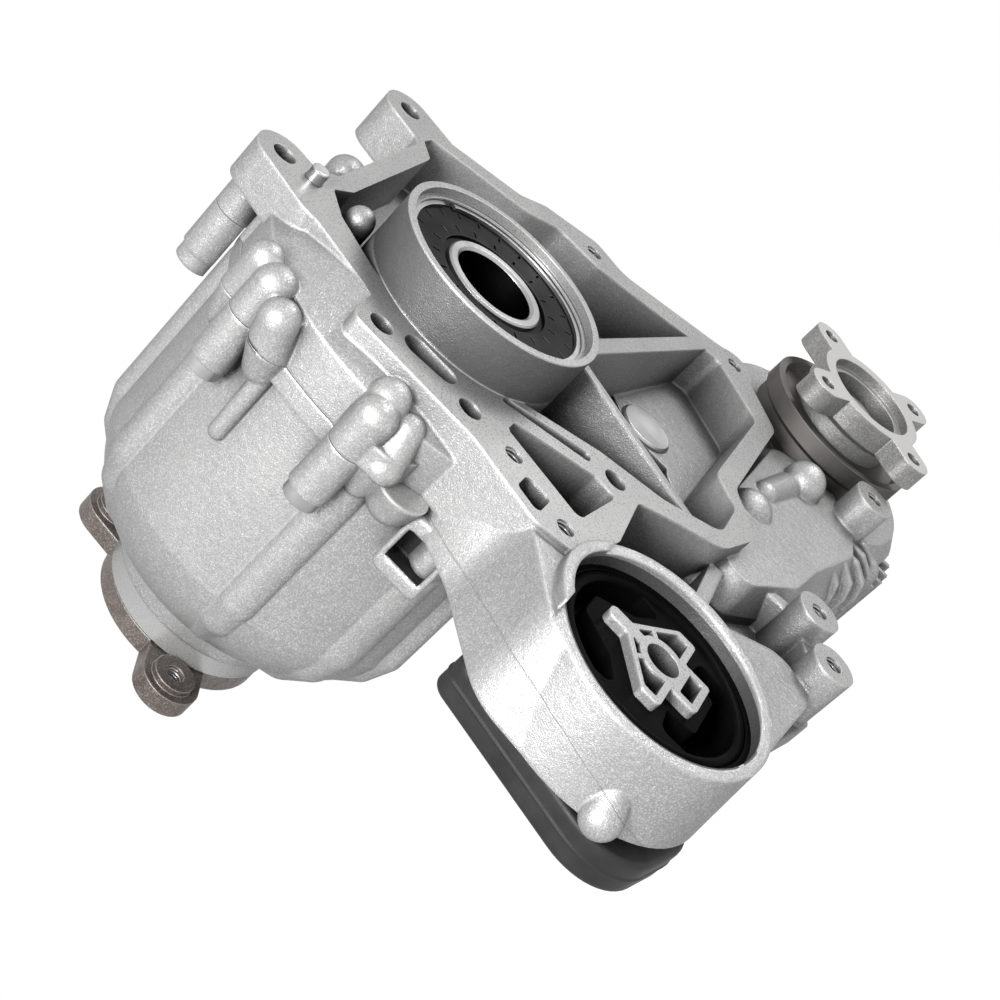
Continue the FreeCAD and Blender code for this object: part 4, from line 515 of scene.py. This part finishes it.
# painted shade: near black splines deep in the input hub
shadedBoreSteel = makeTurnedSteel("shadedBoreSteel", 0.03, 0.5, edgeTone=0.12)
finishes = {
    "cast_aluminium": coreCast,
    "machined_aluminium": makeTurnedSteel("machinedAluminium", 0.60, 0.32),
    "steel": makeTurnedSteel("groundSteel", 0.48, 0.28),
    "machined_steel": makeTurnedSteel("machinedSteel", 0.42, 0.34),
    "oxidised_steel": makeForgedSteel("oxidisedSteel", (0.20, 0.17, 0.152, 1), (0.10, 0.073, 0.06, 1),
                                      mainAxis, [206.8], 0.34),
    "shield_steel": makeTurnedSteel("shieldSteel", 0.13, 0.5, frontAxis, warm=0.05, edgeTone=0.32),
    "zinc_steel": makeTurnedSteel("zincSteel", 0.42, 0.38),
    "rubber": padRubber,
    "seal_rubber": makeRubber("sealRubber", 0.03, 0.35, 0.5 * mm, 0.03 * mm),
    "friction_lining": makeRubber("frictionLining", 0.10, 0.8, 0.2 * mm, 0.1 * mm),
}
slotOf = {part["node"]: part["material_slot"] for part in frame["record"]["subparts"]}
nodeFinish = {
    "front_housing": frontCast,
    "rear_housing": rearCast,
    "mount_rubber": bushRubber,
    "mount_ring": bushRubber,
    # painted shade: near black inside the shaft's bore
    "main_shaft": makeTurnedSteel("shaftSteel", 0.42, 0.34, shadedBore=(18.9, -15.6, 70, 0.012)),
    # painted shade: the slotted plate and the bearing behind its slots are near black deep in the collar
    "slotted_shield": makeTurnedSteel("slottedPlate", 0.034, 0.45, edgeTone=0.22),
    "input_bearing_outer_race": makeTurnedSteel("bearingRace", 0.03, 0.5, edgeTone=0.1),
    "input_bearing_inner_race": makeTurnedSteel("bearingRaceInner", 0.03, 0.5, edgeTone=0.1),
    "input_bearing_balls": makeTurnedSteel("bearingBall", 0.04, 0.3, edgeTone=0.1),
    "front_output_flange": makeForgedSteel("flangeSteel", grey(0.30), grey(0.22, 0.03), frontAxis,
                                           [-27.0, -22.0], 0.46),
}
for name, thing in frame["nodes"].items():
    finish = nodeFinish[name] if name in nodeFinish else finishes[slotOf[name]]
    if not thing.material_slots:
        thing.data.materials.append(finish)
    for materialSlot in thing.material_slots:
        materialSlot.material = finish
print("finishes on", len(frame["nodes"]), "nodes")


def surfaceMesh(name, grid, material, smoothAngle, closeAlong=False):
    # skin over a grid of points: rows run along the piece, each row is a closed ring round it.
    # The rows are joined end to end, or the first and the last row are each filled with one face.
    rows, columns = grid.shape[:2]
    index = np.arange(rows * columns).reshape(rows, columns)
    nextRow = np.roll(index, -1, axis=0) if closeAlong else index[1:]
    here = index if closeAlong else index[:-1]
    quads = np.stack([here, np.roll(here, -1, axis=1), np.roll(nextRow, -1, axis=1), nextRow], axis=-1)
    quads = quads.reshape(-1, 4)
    points = grid.reshape(-1, 3)
    a, b, c, d = (points[quads[:, k]] for k in range(4))
    volume = np.einsum("ij,ij->i", a, np.cross(b, c)).sum() + np.einsum("ij,ij->i", a, np.cross(c, d)).sum()
    faces = quads.tolist()
    if not closeAlong:
        faces += [index[0][::-1].tolist(), index[-1].tolist()]
    if volume < 0:
        faces = [face[::-1] for face in faces]
    mesh = bpy.data.meshes.new(name)
    mesh.from_pydata((points * mm).tolist(), [], faces)
    mesh.polygons.foreach_set("use_smooth", np.ones(len(faces), dtype=bool))
    mesh.set_sharp_from_angle(angle=math.radians(smoothAngle))
    mesh.materials.append(material)
    mesh.update()
    thing = bpy.data.objects.new(name, mesh)
    bpy.context.scene.collection.objects.link(thing)
    return thing


# Threads in the tapped holes; the ridge's two feet and its crest stand at these shares of the pitch
threads = {"pitch": 1.5, "crest": 3.82, "root": 4.26, "steps": 26, "corners": (0.06, 0.5, 0.94)}
# x, z, first and last depth and the body that carries them
threadHoles = [
    (-64, -55, 0.6, 21.4, "case"), (-76, -88, 0.6, 21.4, "case"),
    (153, -11, 0.6, 21.4, "case"), (184, -96, 0.6, 21.4, "case"),
    (44, -192, 0.6, 21.4, "case"), (15, -208, 0.6, 21.4, "case"), (171, -187.8, -7.4, 13.4, "case"),
]
rearThreads = {"circle": 54.0, "first": 82.0, "from": 193.6, "to": 206.0, "root": 4.21}


def makeThread(name, x, z, start, end, root, body):
    # a three cornered ridge: its foot lies on the hole's wall and its crest points at the axis, and it
    # climbs one pitch each turn; radius and depth are functions of the turn and of the corner
    pitch = threads["pitch"]
    turns = (end - start - pitch) / pitch
    turn = np.linspace(0, 2 * np.pi * turns, int(turns * threads["steps"]))[:, None]
    radius = np.array([root, threads["crest"], root])[None, :]
    depth = np.array(threads["corners"])[None, :] * pitch + start + pitch * turn / (2 * np.pi)
    grid = np.stack([x + radius * np.cos(turn), depth, z + radius * np.sin(turn)], axis=-1)
    piece = surfaceMesh(name, grid, threadSteel, smoothAngle=50.0)
    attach(piece, body)


for number, (x, z, start, end, body) in enumerate(threadHoles, start=1):
    makeThread(f"holeThread{number}", x, z, start, end, threads["root"], body)
for number in range(3):
    way = math.radians(rearThreads["first"] + 120 * number)
    makeThread(f"rearArmThread{number + 1}", rearThreads["circle"] * math.cos(way),
               rearThreads["circle"] * math.sin(way), rearThreads["from"], rearThreads["to"],
               rearThreads["root"], "main_rotor")
print("threads done")


cornerSteps = 14


def roundedBox(halfWide, halfLong, cornersR):
    # outline of a rectangle with four round corners, as one closed row of x and z:
    # each corner is a quarter circle about a point one radius in from both sides
    signs = np.array([(1, 1), (-1, 1), (-1, -1), (1, -1)], dtype=float)
    radii = np.array(cornersR, dtype=float)
    centres = signs * np.stack([halfWide - radii, halfLong - radii], axis=-1)
    turn = np.radians(np.linspace(0, 90, cornerSteps)[None, :] + 90 * np.arange(4)[:, None])
    outline = centres[:, None, :] + radii[:, None, None] * np.stack([np.cos(turn), np.sin(turn)], axis=-1)
    return outline.reshape(-1, 2)


# Stop pad behind the eye, leaning in the plane of the gearbox face; the mould seam is raised round it
stopPad = {"halfWide": 37.0, "halfLong": 52.0, "corners": (9.0, 9.0, 28.0, 28.0), "front": 50.02,
           "back": 68.0, "lean": 17.0, "middle": (-92.0, -152.7), "hole": 7.9, "round": 2.6,
           "seam": 0.45, "seamFoot": 0.7, "seamTop": 0.3, "seamFlat": 4.0}


def makeStopPad():
    # rings round the plate: out over the front face, round its edge, along the side with the raised
    # mould seam in its middle, back over the rear face and home through the bolt hole
    pad = stopPad
    front, back, soft = pad["front"], pad["back"], pad["round"]
    middle = (front + back) / 2
    bend = np.radians(np.linspace(0, 90, 6))
    inset = np.concatenate([soft * (1 - np.sin(bend)), [0, 0, -pad["seam"], -pad["seam"], 0, 0],
                            soft * (1 - np.cos(bend))]) + pad["seam"]
    depth = np.concatenate([front + soft * (1 - np.cos(bend)),
                            [middle - pad["seamFlat"], middle - pad["seamFoot"], middle - pad["seamTop"],
                             middle + pad["seamTop"], middle + pad["seamFoot"], middle + pad["seamFlat"]],
                            back - soft + soft * np.sin(bend)])
    outline = np.stack([roundedBox(pad["halfWide"] - step, pad["halfLong"] - step,
                                   [radius - step for radius in pad["corners"]]) for step in inset])
    lean = math.radians(pad["lean"])
    across, along = outline[..., 0], outline[..., 1]
    turned = np.stack([across * math.cos(lean) + along * math.sin(lean) + pad["middle"][0],
                       along * math.cos(lean) - across * math.sin(lean) + pad["middle"][1]], axis=-1)
    eye = np.array(eyeAxis)
    way = turned[0] - eye
    hole = eye + pad["hole"] * way / np.linalg.norm(way, axis=-1, keepdims=True)
    halfway = (turned[0] + hole) / 2
    flat = np.concatenate([hole[None], halfway[None], turned, halfway[None], hole[None]])
    heights = np.concatenate([[front, front], depth, [back, back]])
    heights = np.broadcast_to(heights[:, None], flat.shape[:2])
    grid = np.stack([flat[..., 0], heights, flat[..., 1]], axis=-1)
    piece = surfaceMesh("rubberStopPad", grid, padRubber, closeAlong=True, smoothAngle=40.0)
    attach(piece, "case")
    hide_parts("stop_pad")


makeStopPad()


ringSteps = 120


def makeRing(name, centre, radii, depths, material, body):
    # a turned ring: its closed profile of radius and depth is carried once round the axis
    turn = np.linspace(0, 2 * np.pi, ringSteps, endpoint=False)[:, None]
    radii, depths = np.array(radii)[None, :], np.array(depths)[None, :]
    grid = np.stack([centre[0] + radii * np.cos(turn), depths + 0 * turn, centre[1] + radii * np.sin(turn)],
                    axis=-1)
    piece = surfaceMesh(name, grid, material, closeAlong=True, smoothAngle=40.0)
    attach(piece, body)


# Rounded rubber lip in front of the bush's outer wall
bushLip = {"radius": 42.2, "half": 2.5, "rise": 1.5, "y": 7.6}


def makeBushLip():
    # half a circle of radius and depth, closed by its flat back and carried round the eye's axis
    bend = np.radians(np.linspace(0, 180, 12))
    radii = bushLip["radius"] + bushLip["half"] * np.cos(bend)
    depths = bushLip["y"] - bushLip["rise"] * np.sin(bend)
    makeRing("bushLip", eyeAxis, radii, depths, bushRubber, "case")


makeBushLip()

# Splines deep in the input hub
hubSpline = {"teeth": 30, "outer": 18.66, "root": 18.46, "inner": 17.5, "from": 4.0, "to": 52.0,
             "steps": 12, "flank": 2.2}


def makeHubSpline():
    # ring whose inner radius swings between root and crest with steep flanks, the same at every depth
    spline = hubSpline
    turn = np.linspace(0, 2 * np.pi, spline["teeth"] * spline["steps"], endpoint=False)[:, None]
    wave = np.clip(np.sin(turn * spline["teeth"]) * spline["flank"], -1, 1) * 0.5 + 0.5
    inner = spline["inner"] + (spline["root"] - spline["inner"]) * wave
    outer = np.full_like(inner, spline["outer"])
    radii = np.concatenate([outer, outer, inner, inner], axis=1)
    depths = np.array([[spline["from"], spline["to"], spline["to"], spline["from"]]]) + 0 * turn
    grid = np.stack([radii * np.cos(turn), depths, radii * np.sin(turn)], axis=-1)
    piece = surfaceMesh("hubSpline", grid, shadedBoreSteel, closeAlong=True, smoothAngle=50.0)
    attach(piece, "main_rotor")


makeHubSpline()

# Cast loop on the can behind the arm: middle in y and z, half sizes, walls and depths in mm
caseLoop = {"middle": (51.5, -56.4), "half": (15.0, 11.5), "corner": 3.5, "wall": (7.4, 2.8),
            "innerCorner": 2.0, "open": -84.0, "floor": -73.0, "foot": -64.0, "soft": 1.4}


def makeCaseLoop():
    # rows of rounded rectangles: from the foot out to the rounded rim, over it into the opening,
    # down to its floor and to the floor's middle; each row keeps one depth along x
    loop = caseLoop
    bend = np.radians(np.linspace(0, 90, 5))
    soft = loop["soft"]
    wide, high = loop["half"]
    innerWide, innerHigh = wide - loop["wall"][0], high - loop["wall"][1]
    outside = [(roundedBox(wide - step, high - step, [loop["corner"] - step / 2] * 4),
                loop["open"] + soft - rise)
               for step, rise in zip(soft * (1 - np.cos(bend)), soft * np.sin(bend))]
    inside = [(roundedBox(innerWide + step, innerHigh + step, [loop["innerCorner"] + step / 2] * 4),
               loop["open"] + soft - rise)
              for step, rise in zip(soft * (1 - np.sin(bend)), soft * np.cos(bend))]
    foot = roundedBox(wide, high, [loop["corner"]] * 4)
    floorRing = roundedBox(innerWide, innerHigh, [loop["innerCorner"]] * 4)
    rows = [(foot, loop["foot"])] + outside + inside + [(floorRing, loop["floor"])]
    flat = np.stack([row for row, depth in rows])
    depths = np.broadcast_to(np.array([depth for row, depth in rows])[:, None], flat.shape[:2])
    grid = np.stack([depths, flat[..., 0] + loop["middle"][0], flat[..., 1] + loop["middle"][1]], axis=-1)
    piece = surfaceMesh("caseLoop", grid, loopCast, smoothAngle=40.0)
    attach(piece, "case")


makeCaseLoop()
print("rubber, splines and loop done")

# White floor and surroundings, two lamps and the photo's camera
stage = {"size": 3.0, "drop": 0.5 * mm, "tone": 0.9, "rough": 0.9, "shadow": 0.08, "glow": 1.08,
         "world": 0.10}
lamps = [
    # name, direction from the object in the camera's right, up and towards it, distance, size, strength
    ("keyLamp", (-0.31, 0.14, 0.94), 1.4, 0.5, 31.5),
    ("sideLamp", (0.72, 0.68, -0.05), 1.5, 0.6, 14.0),
]
camera = {"right": Vector((0.3215, -0.6405, -0.6974)), "up": Vector((0.3128, -0.6233, 0.7167)),
          "forward": Vector((0.8938, 0.4485, 0.0)), "place": Vector((-0.7726, -0.3379, -0.0636)),
          "lens": 74.84, "sensor": 36.0}


def seenDirectly(tree):
    # 1 where the camera, a reflection or a clear material looks at the surface
    path = putNode(tree, "ShaderNodeLightPath")
    return largest(tree, [path.outputs["Is Camera Ray"], path.outputs["Is Glossy Ray"],
                          path.outputs["Is Transmission Ray"]])


def makeFloor():
    # pale floor that shows white to the camera and in reflections, with a faint shadow left in it
    half = stage["size"] / 2
    low = cadBox[0][2] - stage["drop"]
    mesh = bpy.data.meshes.new("floor")
    mesh.from_pydata([(-half, -half, low), (half, -half, low), (half, half, low), (-half, half, low)], [],
                     [(0, 1, 2, 3)])
    floor = bpy.data.objects.new("floor", mesh)
    bpy.context.scene.collection.objects.link(floor)
    material, tree, shader = startMaterial("paleFloor")
    shader.inputs["Base Color"].default_value = grey(stage["tone"])
    shader.inputs["Roughness"].default_value = stage["rough"]
    shader.inputs["Specular IOR Level"].default_value = 0.0
    seen = seenDirectly(tree)
    glow = putNode(tree, "ShaderNodeEmission", {"Strength": stage["glow"]})
    share = math2(tree, "MULTIPLY", seen, 1 - stage["shadow"])
    mixed = putNode(tree, "ShaderNodeMixShader", {0: share, 1: shader.outputs[0], 2: glow.outputs[0]})
    link(tree, mixed.outputs[0], tree.nodes["Material Output"], "Surface")
    mesh.materials.append(material)


def makeWorld():
    # white to the camera and in reflections, a dim fill light for the rest
    world = bpy.data.worlds.new("studio")
    bpy.context.scene.world = world
    world.use_nodes = True
    tree = world.node_tree
    background = tree.nodes["Background"]
    seen = seenDirectly(tree)
    strength = rampRange(tree, seen, 0.0, 1.0, stage["world"], 1.0)
    background.inputs["Color"].default_value = (1, 1, 1, 1)
    tree.links.new(strength, background.inputs["Strength"])


def makeLamps():
    # round area lamps that face the middle of the part, strengths in watts
    middle = (Vector(cadBox[0]) + Vector(cadBox[1])) / 2
    for name, way, distance, size, strength in lamps:
        toward = camera["right"] * way[0] + camera["up"] * way[1] - camera["forward"] * way[2]
        toward.normalize()
        data = bpy.data.lights.new(name, "AREA")
        data.shape = "DISK"
        data.size = size
        data.energy = strength
        lamp = bpy.data.objects.new(name, data)
        lamp.location = middle + toward * distance
        lamp.rotation_mode = "QUATERNION"
        lamp.rotation_quaternion = toward.to_track_quat("Z", "Y")
        bpy.context.scene.collection.objects.link(lamp)


def makeCamera():
    # the camera that was fitted to the photo's round faces
    data = bpy.data.cameras.new("photoCamera")
    data.lens = camera["lens"]
    data.sensor_width = camera["sensor"]
    thing = bpy.data.objects.new("photoCamera", data)
    turn = Matrix((camera["right"], camera["up"], -camera["forward"])).transposed().to_4x4()
    thing.matrix_world = Matrix.Translation(camera["place"]) @ turn
    bpy.context.scene.collection.objects.link(thing)
    bpy.context.scene.camera = thing


makeFloor()
makeWorld()
makeLamps()
makeCamera()
bpy.context.scene.view_settings.view_transform = "Standard"
print("studio ready")
